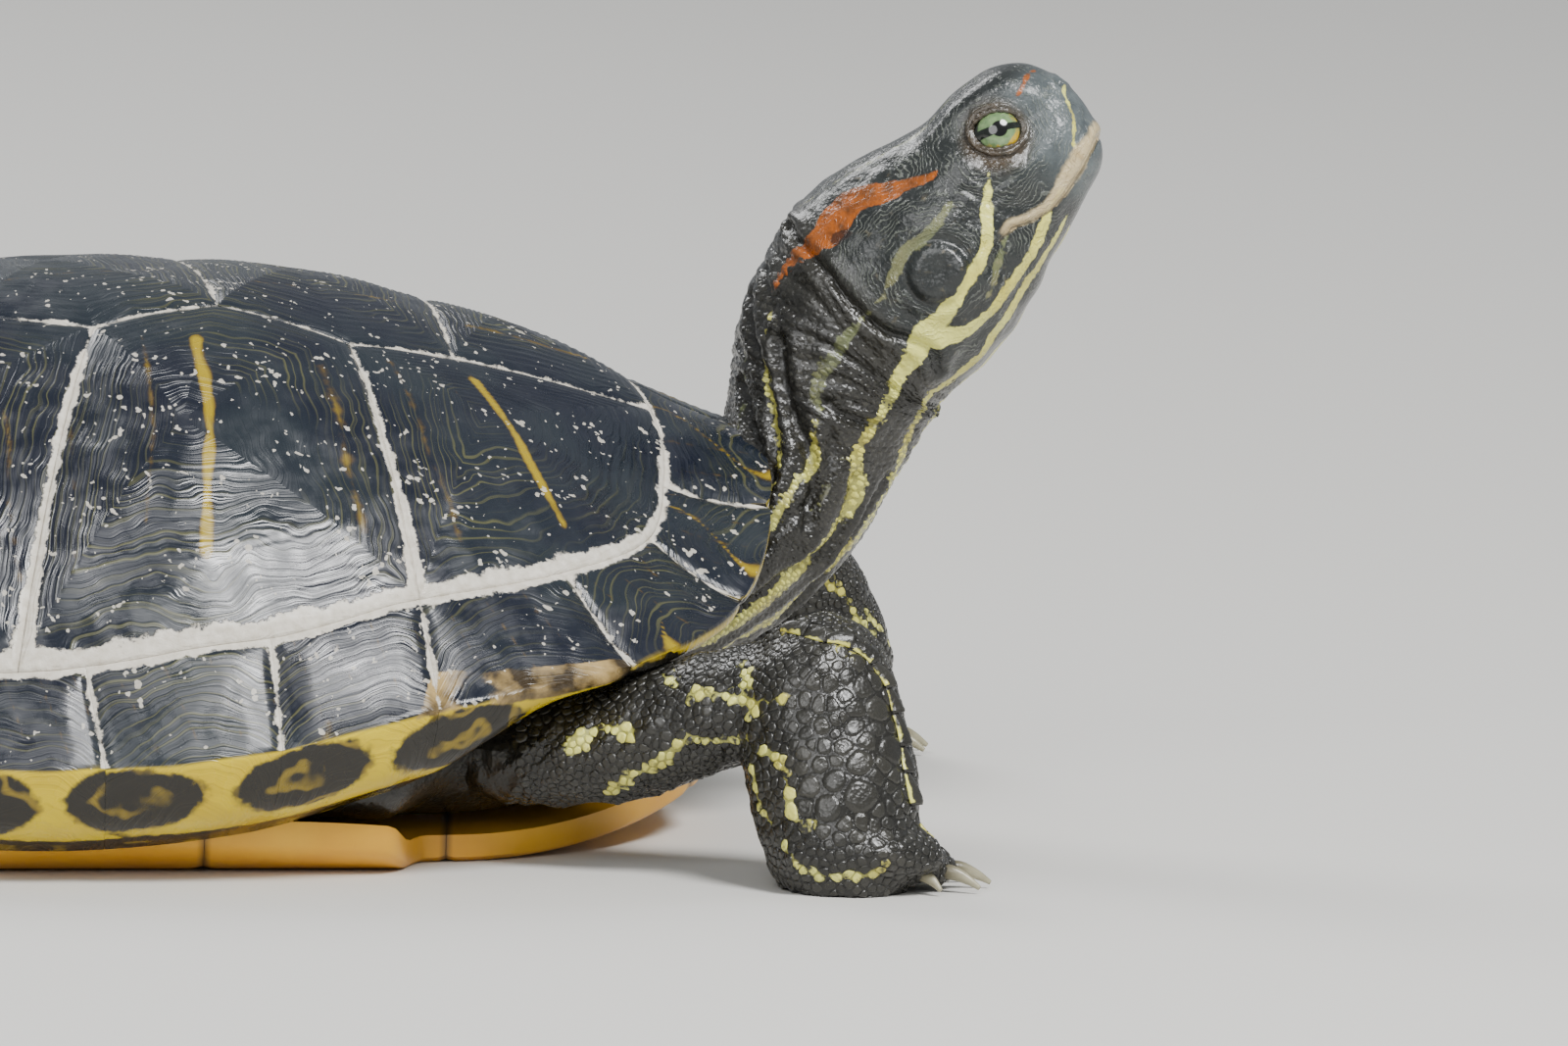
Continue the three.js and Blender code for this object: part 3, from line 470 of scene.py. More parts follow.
def straight(corners):
    # points about sideStep apart along straight seams, without the last corner
    made = []
    for a, b in zip(corners, corners[1:]):
        count = max(2, int(math.dist(a, b) / scuteLook["sideStep"]))
        made += [(mix(a[0], b[0], i / count), mix(a[1], b[1], i / count)) for i in range(count)]
    return made


def alongRing(low, high):
    count = max(3, int(abs(high - low) * 1.5 / scuteLook["sideStep"]))
    return [tuple(ringPlan(mix(low, high, i / count))) for i in range(count)]


def flip(p):
    return (p[0], -p[1])


def vertebralOutline(k):
    if k == 0:
        front, rear = tuple(ringPlan(frontFan)), vertebralCorners[1]
        return straight([front, rear, flip(rear), flip(front)]) + alongRing(-frontFan, frontFan)
    if k == 4:
        front, rear = vertebralCorners[4], tuple(ringPlan(rearFan))
        return straight([flip(rear), flip(front), front, rear]) + alongRing(rearFan, 360 - rearFan)
    side = [vertebralCorners[k], sideCorners[k], vertebralCorners[k + 1]]
    path = side + [flip(p) for p in side[::-1]]
    return straight(path + [path[0]])


def costalOutline(k):
    low = frontFan if k == 0 else costalSeamAngle[k - 1]
    high = costalSeamAngle[k] if k < 3 else rearFan
    inner = [[vertebralCorners[1], sideCorners[1]], [sideCorners[1], vertebralCorners[2], sideCorners[2]],
             [sideCorners[2], vertebralCorners[3], sideCorners[3]], [sideCorners[3], vertebralCorners[4]]][k]
    return alongRing(low, high) + straight([tuple(ringPlan(high)), *inner[::-1], tuple(ringPlan(low))])


def crustWidth(plan):
    # lime gathers on the marginal ring, and on the seams of the front costals
    x, y = plan[:, 0], plan[:, 1]
    degrees = np.degrees(np.arctan2(y, x - shell["centreX"]))
    reach = np.hypot(x - shell["centreX"], y) / rimRadius(degrees)
    onRing = ease(reach, 0.77, 0.83)
    side = ease(np.abs(degrees), 24, 44) * (1 - ease(np.abs(degrees), 120, 150))
    costalSeam = (bump(np.abs(degrees) - 60, 9) + bump(np.abs(degrees) - 108, 9)) * ease(reach, 0.36, 0.5)
    return 0.5 + 0.6 * onRing + 0.85 * onRing * side + 0.75 * costalSeam * (1 - onRing)


def makeScute(name, outline, bars, seed):
    outline = np.array(outline)
    if "_right" in name:
        outline = (outline * [1, -1])[::-1]
    middle = outline.mean(0)
    hub = middle + [-(outline[:, 0].max() - middle[0]) * 0.16, 0.0]  # growth starts a little behind the middle
    hub[1] *= 0.93 if abs(middle[1]) > 5 else 1
    steps = scuteLook["steps"]
    share = (np.arange(1, steps + 1) / steps) ** 0.86
    plan = hub + (outline - hub) * share[:, None, None]
    plan[-1] = middle + (outline - middle) * 0.9988
    flat = plan.reshape(-1, 2)
    surface, out = domeFrame(flat[:, 0], flat[:, 1])
    count = len(outline)
    f = np.repeat(share, count)
    toSeam = closedDistance(flat, outline)
    groove = scuteLook["groove"] * bump(toSeam, scuteLook["grooveWidth"])
    lift = scuteLook["bulge"] * (1 - f ** 3) - groove
    grow = f * np.median(np.linalg.norm(outline - hub, axis=1))
    ripple = np.sin(grow * 2 * math.pi / scuteLook["rippleSpacing"] + lumps(flat, 22, seed) * 2)
    lift += scuteLook["ripple"] * ripple * ease(toSeam, 0.5, 3)
    lift += 0.22 * lumps(flat, 13, seed + 50) * ease(toSeam, 1, 6)
    top = surface + out * lift[:, None]
    hubSurface, hubOut = domeFrame(hub[:1], hub[1:])
    hubTop = hubSurface + hubOut * scuteLook["bulge"]
    wall = surface[-count:] - out[-count:] * shell["thickness"]
    points = np.concatenate([hubTop, top, wall])
    faces = [[0, 1 + i, 1 + (i + 1) % count] for i in range(count)]
    for r in range(steps):
        low = 1 + r * count
        faces += [[low + i, low + count + i, low + count + (i + 1) % count, low + (i + 1) % count]
                  for i in range(count)]
    faces.append([1 + steps * count + i for i in range(count)][::-1])
    bar = np.zeros(len(flat))
    for a, b, half, strength in bars:
        both = [(a, b), (flip(a), flip(b))]
        for one in both[:1] if "_left" in name else both[1:] if "_right" in name else both:
            wave = flat + 0.9 * np.stack([lumps(flat, 12, seed + 9), 0 * f], -1)
            inBar = 1 - segmentDistance(wave, *one) / (2 * half) + 0.14 * lumps(flat, 5, seed + 8)
            bar = np.maximum(bar, strength * inBar)
    crust = crustWidth(flat) - toSeam + 0.25 * lumps(flat, 12, seed + 3)
    pad = lambda values, last: np.concatenate([values[:1], values, np.full(count, last)])
    marks = {"grow": pad(grow, grow.max()), "bar": pad(np.clip(bar, 0, 1), 0), "crust": pad(crust, 0.5),
             "under": np.zeros(len(points)), "spot": np.full(len(points), -1.0), "worn": np.zeros(len(points))}
    return makePiece(name, points, faces, True, marks)


for k in range(5):
    name = f"vertebral_{k + 1}"
    dress(makeScute(f"horn_{name}", vertebralOutline(k), vertebralBars[k + 1], k), horn, "carapace_horn", name)
for k in range(4):
    for side in ("left", "right"):
        name = f"costal_{side}_{k + 1}"
        scute = makeScute(f"horn_{name}", costalOutline(k), costalBars[k + 1], 10 + k)
        dress(scute, horn, "carapace_horn", name)
print("dome scutes made")

# the marginal scutes
marginalLook = dict(stations=44, outerSteps=22, underSteps=16, bulge=0.5, groove=0.6, grooveWidth=1.0)


def bridgeShare(degrees):
    at = np.abs(degrees)
    behind = ease(at, bridge["rearFull"], bridge["rearEnd"])
    return ease(at, bridge["frontStart"], bridge["frontFull"]) * (1 - behind)


def makeMarginal(name, k, mirrored=False):
    # k is the number of the scute behind the nuchal one, or -1 for the nuchal scute itself
    stations, outerSteps, underSteps = (marginalLook[key] for key in ("stations", "outerSteps", "underSteps"))
    f = np.linspace(0.0008, 0.9992, stations)
    if k < 0:
        ring, rim = ringAngle[0] * (2 * f - 1), rimAngle[0] * (2 * f - 1)
    else:
        ring, rim = mix(ringAngle[k], ringAngle[k + 1], f), mix(rimAngle[k], rimAngle[k + 1], f)
    length = abs(math.radians(rim[-1] - rim[0])) * float(rimRadius(rim[0]))
    start = around(ringReaches, ringAngle, ring) + 0.02 / rimRadius(ring)
    g = np.linspace(0, 1, outerSteps)[:, None]
    outer = domePoint(mix(ring, rim, g), mix(start, 0.9995, g))  # steps, stations, 3
    edge = outer[-1]
    away = np.stack([np.cos(np.radians(rim)), np.sin(np.radians(rim)), np.zeros(stations)], -1)
    share = bridgeShare(rim)

    def below(inward, drop):
        return edge - away * np.reshape(inward, (-1, 1)) - np.outer(drop + share * 0, [0, 0, 1])

    lip = below(mix(0.8, 0.3, share), 2.2)
    middle = below(mix(6, 4, share), mix(2.4, 10.5, share))
    foot = below(bridge["inset"] + 0 * share, mix(0.5, bridge["drop"], share))
    heel = foot + np.stack([share * 0, share * 0, mix(2.2, plastron["edgeThickness"], share)], -1)
    inside, insideOut = domeFrame(outer[0][:, 0], outer[0][:, 1])
    inside = inside - insideOut * shell["thickness"]
    rows = np.stack([outer[-2], edge, lip, middle, foot])
    under = through(rows.reshape(5, -1), np.linspace(1, 4, underSteps)).reshape(underSteps, stations, 3)[1:]
    sheet = np.concatenate([outer, under])
    # swelling between the seams, and the groove beside each one
    toSeam = np.minimum(f, 1 - f) * length
    outward = np.cross(np.gradient(sheet, axis=1), np.gradient(sheet, axis=0))
    outward /= np.maximum(1e-9, np.linalg.norm(outward, axis=2, keepdims=True))
    if np.mean(outward[2, :, 2]) < 0:
        outward = -outward
    row = np.arange(len(sheet))[:, None]
    topSeam = np.linalg.norm(sheet - sheet[0], axis=2)
    lift = marginalLook["bulge"] * (ease(toSeam, 0, 6)[None] - 0.6) * ease(row, 1, 8)
    lift = lift * (1 - ease(row, len(sheet) - 5, len(sheet) - 1))
    groove = np.maximum(bump(toSeam, marginalLook["grooveWidth"])[None],
                        bump(topSeam, marginalLook["grooveWidth"]))
    lift = lift - marginalLook["groove"] * groove * (row < outerSteps + 5)
    growth = np.hypot(topSeam.max() - topSeam, (f - 0.5) * length * 0.9)
    lift = lift + 0.06 * np.sin(growth * 3.3 + 2 * lumps(sheet, 18, k + 30)) * (row < outerSteps)
    sheet = sheet + outward * lift[..., None]
    loop = np.concatenate([sheet, heel[None], inside[None]])  # around the section
    sides = len(loop)
    rings = loop.transpose(1, 0, 2)
    points, faces = closedTube(rings)
    # 0 at the ring seam, 1 at the rim
    g2 = np.repeat(np.clip(np.arange(sides) / (outerSteps - 1), 0, 9)[:, None], stations, 1)
    fAll = np.repeat(f[None], sides, 0)
    noise = lumps(loop, 11, k + 60)
    yellowUnder = ease(g2 + 0.05 * noise, 1.02, 1.12)
    # a curved bar from the upper seam to a spot on the rim, strong on the first scutes and faint further back
    barLine = 0.30 + 0.42 * ease(g2, 0.1, 1.0)
    bar = 1 - np.abs(fAll - barLine) * length / (1.3 + 2.6 * ease(g2, 0.8, 1)) + 0.15 * noise
    bar = np.where(g2 < 1.06, bar, 0) * (0.85 if k < 3 else 0.5) * (0.7 + 0.3 * ease(g2, 0.5, 0.95))
    thin = 1 - np.abs(((fAll * 4 + g2 * 0.7) % 1) - 0.5) * 7
    bar = np.clip(np.maximum(bar, 0.5 * thin * (g2 < 0.9)), 0, 1)
    # dark blotches on the yellow underside, one across each seam with most of it on the scute in front
    run = np.concatenate([[np.zeros(stations)], np.cumsum(np.linalg.norm(np.diff(loop, axis=0), axis=2), 0)])
    run = run - run[outerSteps - 1]
    big = 1 - np.hypot((fAll - 0.84) * length / 12.4, (run - 6.6) / 6.4)
    small = 1 - np.hypot((fAll + 0.16) * length / 12.4, (run - 6.6) / 6.4)
    spot = np.maximum(np.maximum(big, small), ease(run, 14.5, 17.5) - 0.35) + 0.08 * noise
    worn = np.zeros_like(g2)
    if mirrored and k in (3, 4):
        reach = mix(0.86, 0.62, fAll) if k == 3 else mix(0.66, 1.3, ease(fAll, 0, 0.3))
        worn = ease(g2 - reach, -0.02, 0.1) * (1 - ease(g2, 1.12, 1.3)) * (0.8 + 0.5 * noise)
    fromSeam = np.minimum(fAll, 1 - fAll) * length
    ringCrust = 0.75 + 0.85 * ease(np.abs(rim), 22, 42)[None] * (1 - ease(np.abs(rim), 125, 150))[None]
    distance = np.concatenate([topSeam, np.full((2, stations), 30.0)])
    crust = np.maximum(ringCrust - distance, 0.62 - fromSeam) + 0.22 * noise
    crust = np.where(g2 < 1.03, crust, -3)
    growAll = np.concatenate([growth, growth[-1:], growth[-1:]])
    flat = lambda values: np.append((values + np.zeros((sides, stations))).T.ravel(), [0, 0])
    if mirrored:
        points = points * [1, -1, 1]
        faces = [face[::-1] for face in faces]
    spot = np.where(yellowUnder > 0.5, spot, -1)
    marks = dict(grow=growAll, bar=bar, crust=crust, under=yellowUnder, spot=spot, worn=worn)
    piece = makePiece(name, points, faces, True, {key: flat(values) for key, values in marks.items()})
    smoothUpTo(piece, 50)
    return piece


dress(makeMarginal("horn_nuchal", -1), horn, "carapace_horn", "nuchal")
for k in range(12):
    for side in ("left", "right"):
        name = f"marginal_{side}_{k + 1}"
        dress(makeMarginal(f"horn_{name}", k, side == "right"), horn, "carapace_horn", name)
print("marginal scutes made")

# the belly plates
bandNames = ["gular", "humeral", "pectoral", "abdominal", "femoral", "anal"]
bandLook = dict(across=96, along=30, groove=0.35, grooveWidth=0.8)


def lobeHalf(x, notch, tip, half, power):
    return half * (1 - np.clip((x - notch) / (tip - notch), 0, 1) ** power) ** (1 / power)


def bridgeEdge(x):
    angle = np.full(np.shape(x), 90.0)
    for _ in range(12):
        radius = rimRadius(angle) - bridge["inset"] - 0.3
        angle = np.degrees(np.arccos(np.clip((x - shell["centreX"]) / radius, -1, 1)))
    return (rimRadius(angle) - bridge["inset"] - 0.3) * np.sin(np.radians(angle))


def plastronHalf(x):
    x = np.asarray(x, float)
    notchFront, notchRear = plastron["notchFront"], plastron["notchRear"]
    corner = ease(x, notchRear, notchRear + 10) * (1 - ease(x, notchFront - 10, notchFront))
    across = mix(np.where(x > 0, plastron["lobeHalf"], plastron["rearLobeHalf"]), bridgeEdge(x), corner)
    front = lobeHalf(x, notchFront, plastron["tipFront"], plastron["lobeHalf"], 1.7)
    rear = lobeHalf(x, notchRear, plastron["tipRear"], plastron["rearLobeHalf"], 2.2)
    return np.where(x > notchFront, front, np.where(x < notchRear, rear, across))


def plastronUnder(x, y):
    upturn = plastron["upturn"] * (np.maximum(0, x - plastron["upturnStart"])
                                   / (plastron["tipFront"] - plastron["upturnStart"])) ** 2
    return upturn + plastron["bridgeRise"] * (np.maximum(0, np.abs(y) - plastron["flatHalf"])
                                              / (float(bridgeEdge(0.0)) - plastron["flatHalf"])) ** 2


def makeBand(name, front, rear, seed):
    across, along = bandLook["across"], bandLook["along"]
    t = np.linspace(-1, 1, across + 1)[None]
    j = np.linspace(0, 1, along + 1)[:, None]
    inside = np.abs(t)
    a, b = mix(front[0], front[1], inside), mix(rear[0], rear[1], inside)
    x = mix(a - 0.04, b + 0.04, j)
    y = t * plastronHalf(x)
    under = plastronUnder(x, y)
    toSeam = np.minimum(np.minimum(j, 1 - j) * np.abs(a - b), np.abs(y) + 0.02)
    groove = bandLook["groove"] * bump(toSeam, bandLook["grooveWidth"])
    lower = np.stack([x, y, under + groove], -1)
    upper = np.stack([x, y, under + mix(plastron["thickness"], plastron["edgeThickness"], inside ** 2)], -1)
    rounded = 0.9 * ease(inside, 0.97, 1.0) * np.ones_like(x)
    lower[..., 2] += rounded
    rings = np.concatenate([upper, lower[:, ::-1]], 1)
    points, faces = closedTube(rings[::-1])
    long = np.abs(a - b)
    spot = 1.05 - np.hypot((inside - 0.45) * 46, (j - 0.5) * long) / np.minimum(13, long * 0.42)
    spot = spot + 0.25 * lumps(lower[..., :2], 9, seed)

    def both(values):
        # the same above and below, in the order of the tube's points
        values = values * np.ones_like(x)
        return np.append(np.concatenate([values, values[:, ::-1]], 1)[::-1].ravel(), [0, 0])

    piece = makePiece(name, points, faces, True, {"spot": both(spot), "crust": both(-toSeam)})
    smoothUpTo(piece, 55)
    return piece


bandEnds = [(plastron["tipFront"], plastron["tipFront"] - 4), *zip(plastron["seamMid"], plastron["seamEdge"]),
            (plastron["tipRear"], plastron["tipRear"] + 6)]
for k, name in enumerate(bandNames):
    band = makeBand(f"belly_{name}", bandEnds[k], bandEnds[k + 1], k)
    dress(band, bellyHorn, "plastron_horn", name)
print("belly plates made")

# the skin: head and neck in one sheet, then the limbs, tail and trunk
neckLook = dict(sides=184, neckRings=112, headRings=138, foldDepth=0.75)
headX = headPlace[:3, 0]


def neckSheet():
    # rings from inside the shell to the nape, then on over the head to the snout; points and where each one is
    sides = neckLook["sides"]
    turn = 2 * math.pi * np.arange(sides) / sides
    c, s = np.cos(turn), np.sin(turn)
    t = np.linspace(0.3, 6, neckLook["neckRings"])
    rows = through(neckPath, t)
    along = unit((through(neckPath, np.minimum(t + 0.05, 7)) - through(neckPath, t - 0.05))[:, :3])
    along = unit(mix(along, headX, ease(t, 4.5, 6)[:, None]))
    left = unit(np.cross([0, 0, 1], along))
    over = np.cross(along, left)
    power = mix(1.0, 0.9, ease(t, 4, 6))[:, None]
    high = np.sign(c) * np.abs(c) ** power * np.where(c > 0, rows[:, 3:4], rows[:, 4:5])
    side = -np.sign(s) * np.abs(s) ** power * rows[:, 5:6]
    neck = rows[:, None, :3] + over[:, None] * high[..., None] + left[:, None] * side[..., None]
    u = np.linspace(0, 8, neckLook["headRings"] + 1)[1:]
    x, middle, crown, under, half = through(headRows, u).T[:, :, None]
    z = middle + np.sign(c) * np.abs(c) ** 0.9 * np.abs(np.where(c > 0, crown, under) - middle)
    y = -np.sign(s) * np.abs(s) ** 0.9 * half
    headRings = np.stack([x + 0 * y, y, z], -1)
    tip = headRings[-1].mean(0)
    caps = [tip + (headRings[-1] - tip) * f + [0.35 * (1 - f ** 2), 0, 0] for f in (0.75, 0.5, 0.25)]
    rings = np.concatenate([neck, fromHead(headRings), fromHead(np.array(caps))])
    length = np.concatenate([[0], np.cumsum(np.linalg.norm(np.diff(rings.mean(1), axis=0), axis=1))])
    points, faces = closedTube(rings)
    where = np.stack([np.repeat(length, sides), np.tile(turn, len(rings))], -1)
    return points, faces, np.concatenate([where, where[:1], where[-1:]]), length


def lineDistance(points, line):
    best = np.full(points.shape[:-1], 1e9)
    for a, b in zip(line, line[1:]):
        best = np.minimum(best, segmentDistance(points, a, b))
    return best


def mouthSide(p):
    # signed height over the mouth line, in the head's own side view
    x, z = p[:, 0], p[:, 2]
    line = np.array(mouth)[::-1]
    return z - np.interp(x, line[:, 0], line[:, 1])


mouth = [(42, -1.4), (35.6, -2.3), (33.1, -3.2), (31.6, -4.2), (28, -5.8), (23.6, -7.2), (20.2, -7.7),
         (17.2, -7.2), (14.2, -5.9), (11, -6.4), (9.3, -8)]
eyeLook = dict(gaze=(0.37, 0.91, 0.1), lidTilt=-25, halfLong=4.4, halfHigh=3.05, lidThick=0.7)


def eyeAxes(side):
    out = np.array(eyeLook["gaze"]) * [1, side, 1]
    out /= np.linalg.norm(out)
    long = np.array([1, 0, math.tan(math.radians(eyeLook["lidTilt"]))])
    long -= out * (long @ out)
    long /= np.linalg.norm(long)
    high = np.cross(out, long) * -side
    return out, long, high


def shapeHead(p, normal):
    # p and normal in the head's frame; returns the moved points
    x, side, z = p[:, 0], np.abs(p[:, 1]), p[:, 2]
    onHead = ease(x, -13, -7)
    move = 0.16 * lumps(p, 2.4, 21) * onHead * ease(side, 3, 9) * (1 - ease(x, 12, 20))
    move += 0.30 * lumps(p, 7, 22) * onHead * (1 - ease(x, 20, 27))
    # brow ridges, the hollow between eye and nostril, the jaw muscle
    ridge = np.stack([x, side, z], -1)
    move += 0.8 * bump(lineDistance(ridge, [(13, 9.5, 14.5), (20, 8.2, 15.2), (27, 5, 13.6)]), 2.4)
    move -= 0.7 * bump(lineDistance(ridge, [(27, 8.5, 6.5), (31, 6, 6)]), 2.6)
    move += 0.8 * bump(np.linalg.norm(ridge - [2, 17, -8], axis=1), 6)
    # ear drum: a smooth disc with a rim
    drum = np.linalg.norm((ridge - [ear["x"], ear["side"], ear["z"]]) * [1, 0.5, 1], axis=1)
    move += 0.7 * (1 - ease(drum, 3.8, 5.2)) - 0.45 * bump(drum - 5.6, 0.7) + 0.2 * bump(drum - 6.9, 0.9)
    # mouth slit with the beak hanging over it
    over = mouthSide(p)
    slit = lineDistance(np.stack([x, z], -1), mouth)
    reach = ease(x, 5.5, 8)
    move -= 0.75 * bump(slit, 0.36) * ease(x, 5, 6.5)
    move += 0.32 * bump(over - 1.3, 1.2) * reach
    move -= 0.45 * ease(-over, 0, 0.5) * (1 - ease(-over, 2.2, 5)) * reach
    # cheek folds under and behind the eye, and the curl behind the corner of the mouth
    for line, depth in (([(7, 15.5, -10), (2.5, 17, -13), (-3, 17.4, -14.5)], 0.5),
                        ([(15, 13.5, 1.5), (21, 12, 0.4), (26, 9.6, 2)], 0.35),
                        ([(12.5, 14.5, 4), (14, 14, 0), (19, 12.5, -1.6)], 0.3),
                        ([(9, 15, 9), (4, 16.6, 8.4), (-3, 17, 9)], 0.25),
                        ([(10, 15, -5), (5, 16.5, -6.5), (1, 17, -9)], 0.3)):
        away = lineDistance(ridge, line)
        move += depth * (0.6 * bump(away - 1.1, 0.8) - bump(away, 0.5))
    pit = np.linalg.norm(ridge - [nostril["x"], nostril["side"], nostril["z"]], axis=1)
    move += 0.35 * bump(pit - 1.3, 0.7) - 1.3 * bump(pit, 0.75)
    p = p + normal * move[:, None]
    # lids: the skin follows the eyeball, and inside the opening it is pulled behind it
    for side in (-1, 1):
        centre = np.array([eye["x"], side * eye["side"], eye["z"]])
        out, long, high = eyeAxes(side)
        d = p - centre
        far = np.linalg.norm(d, axis=1)
        near = (far < 11) & (d @ out > 0.2)
        a, b = d[near] @ long, d[near] @ high
        q = np.hypot(a / eyeLook["halfLong"], b / eyeLook["halfHigh"])
        radius = eye["radius"]
        lid = radius + eyeLook["lidThick"] * ease(q, 0.96, 1.2)
        lid = lid + 0.12 * lumps(p[near], 1.6, 5) * ease(q, 1.1, 1.5)
        lid = lid + 0.4 * bump(q - 1.32, 0.16) - 0.3 * bump(q - 1.62, 0.12)
        target = np.where(q < 0.98, radius - 1.4 * (1 - q ** 6) - 0.15, lid)
        blend = ease(q, 1.45, 2.3)
        length = mix(target, far[near], blend)
        p[near] = centre + d[near] / far[near][:, None] * length[:, None]
    return p


nostril = dict(x=33.4, side=1.9, z=7.8)
ear = dict(x=0.8, z=-3.8, side=17.6)
neckFolds = []


def shapeNeck(p, normal, where):
    # loose skin: soft folds along the neck, fine ones across it
    s, turn = where[:, 0], where[:, 1]
    inHead = toHead(p)
    onNeck = 1 - ease(inHead[:, 0], -16, -9)
    around6 = np.stack([np.cos(turn) * 18, np.sin(turn) * 18, s], -1)
    throat = 0.5 - 0.5 * np.cos(turn)  # 0 at the nape, 1 at the throat
    drape = np.sin(turn * 9 + 1.4 * lumps(around6, 22, 31) + s * 0.02)
    fold = 1 - np.abs(drape) ** 0.8 - 0.4
    move = neckLook["foldDepth"] * (0.35 + 0.65 * throat) * fold * onNeck * (1 - ease(s, 38, 62))
    cross = np.sin(s * 1.5 + 3.0 * lumps(around6, 15, 32) + 1.2 * np.cos(turn * 2))
    move += 0.3 * (1 - 1.7 * np.abs(cross) ** 0.5) * -onNeck * (0.4 + 0.6 * ease(s, 40, 60))
    move += 0.16 * lumps(around6, 3.2, 33) * onNeck
    for line, depth, width in neckFolds:
        away = lineDistance(p, line)
        move += depth * (0.55 * bump(away - 1.9 * width, 1.5 * width) - bump(away, 0.75 * width))
    return p + normal * move[:, None]


points, faces, whereNeck, neckLength = neckSheet()
neckSkin = makePiece("skin", points, faces)


def ringTube(rows, sides, count, upright, grow=0.0, low=0.0):
    # a closed tube through rows; upright rings are (up, down, side), the others (tall, wide)
    t = np.linspace(low, len(rows) - 1, count)
    row = through(rows, t)
    ahead, behind = np.minimum(t + 0.05, len(rows) - 1), np.maximum(t - 0.05, 0)
    along = unit((through(rows, ahead) - through(rows, behind))[:, :3])
    turn = 2 * math.pi * np.arange(sides) / sides
    c, s = np.cos(turn), np.sin(turn)
    if upright:
        beside = unit(np.cross([0, 0, 1], along))
        over = np.cross(along, beside)
        high, wide = c * (np.where(c > 0, row[:, 3:4], row[:, 4:5]) + grow), -s * (row[:, 5:6] + grow)
    else:
        over = unit(np.cross([0, -1, 0], along))
        beside = np.cross(along, over)
        high, wide = c * (row[:, 3:4] + grow), s * (row[:, 4:5] + grow)
    return closedTube(row[:, None, :3] + over[:, None] * high[..., None] + beside[:, None] * wide[..., None])


def toeRows(spec, k):
    share = k / (len(spec["reach"]) - 1)
    angle = math.radians(spec["toward"] + mix(spec["spread"] / 2, -spec["spread"] / 2, share))
    x, y, z = spec["palm"]
    reach, size = spec["reach"][k], spec["toe"]

    def at(share, height, high, wide):
        return [x + math.cos(angle) * reach * share, y - math.sin(angle) * reach * share, height, high, high,
                wide]

    toe = [at(0, z, size, size), at(0.22, z * 0.95, size, size), at(0.45, z * 0.85, size * 0.9, size * 0.92),
           at(0.6, size * 1.0, size * 0.86, size * 0.84), at(0.7, size * 0.88, size * 0.55, size * 0.55)]
    claw = [at(0.58, size * 1.02, 1.35, 1.3), at(0.72, size * 1.0, 1.25, 1.1), at(0.86, size * 0.72, 0.85, 0.7),
            at(0.985, 1.0, 0.38, 0.35)]
    return toe, claw


def limbSkin(name, spec, voxel):
    # the segments are grown into each other and made one skin
    pieces = []
    coat = -0.25
    for key, count in (("upper", 40), ("lower", 40), ("hand", 24)):
        pieces.append(makePiece("part", *ringTube(spec[key], 40, count, False, coat)))
    for k in range(len(spec["reach"])):
        pieces.append(makePiece("part", *ringTube(toeRows(spec, k)[0], 20, 14, True, coat)))
    limb = joined(name, pieces)
    applied(limb, "REMESH", mode="VOXEL", voxel_size=voxel * mm, adaptivity=0.0)
    applied(limb, "SMOOTH", factor=0.6, iterations=5)
    if name.endswith("left"):
        setPoints(limb, pointsOf(limb) * [1, -1, 1])
        limb.data.flip_normals()
    co = pointsOf(limb)
    co[:, 2] = np.maximum(co[:, 2], 0.05)
    setPoints(limb, co)
    return limb


def trunkWall(degrees):
    share = bridgeShare(degrees)
    return mix(rimRadius(degrees) * 0.79, rimRadius(degrees) - bridge["inset"] - 4, share)


def trunkSkin():
    degrees = np.linspace(-180, 180, 97)[:-1]
    c, s = np.cos(np.radians(degrees)), np.sin(np.radians(degrees))
    wall = trunkWall(degrees)
    reach = np.array([next((r for r in range(20, 140)
                            if abs(r * s[i]) >= plastronHalf(shell["centreX"] + r * c[i])), 140)
                      for i in range(len(c))])
    low = np.minimum(wall, reach - 5)
    at = lambda r: (shell["centreX"] + r * c, r * s)

    def onFloor(r):
        x, y = at(r)
        return np.stack([x, y, plastronUnder(x, y) + plastron["thickness"] + 1.5], -1)

    x, y = at(wall)
    rings = [onFloor(low * 0.5), onFloor(low), np.stack([x, y, mix(16, domeOver(x, y)[:, 2] - 14, 0.35)], -1)]
    for f in (0.97, 0.75, 0.4):
        x, y = at(wall * f)
        surface, out = domeFrame(x, y)
        rings.append(surface - out * (shell["thickness"] + 3.2))
    rings = np.array(rings)
    rows = through(rings.reshape(6, -1), np.linspace(0, 5, 26)).reshape(26, len(c), 3)
    rows[:, :, 2] = np.maximum(rows[:, :, 2], 6.5)
    return makePiece("trunkPart", *closedTube(rows))


limbs = {name: limbSkin(name, spec, 1.0 if name.startswith("fore") else 1.2) for name, spec in legs.items()}
tailPart = makePiece("tailPart", *ringTube(tailRows, 48, 60, True, -0.25))
trunkPart = trunkSkin()
print("skin parts", {name: len(o.data.polygons) for name, o in limbs.items()})

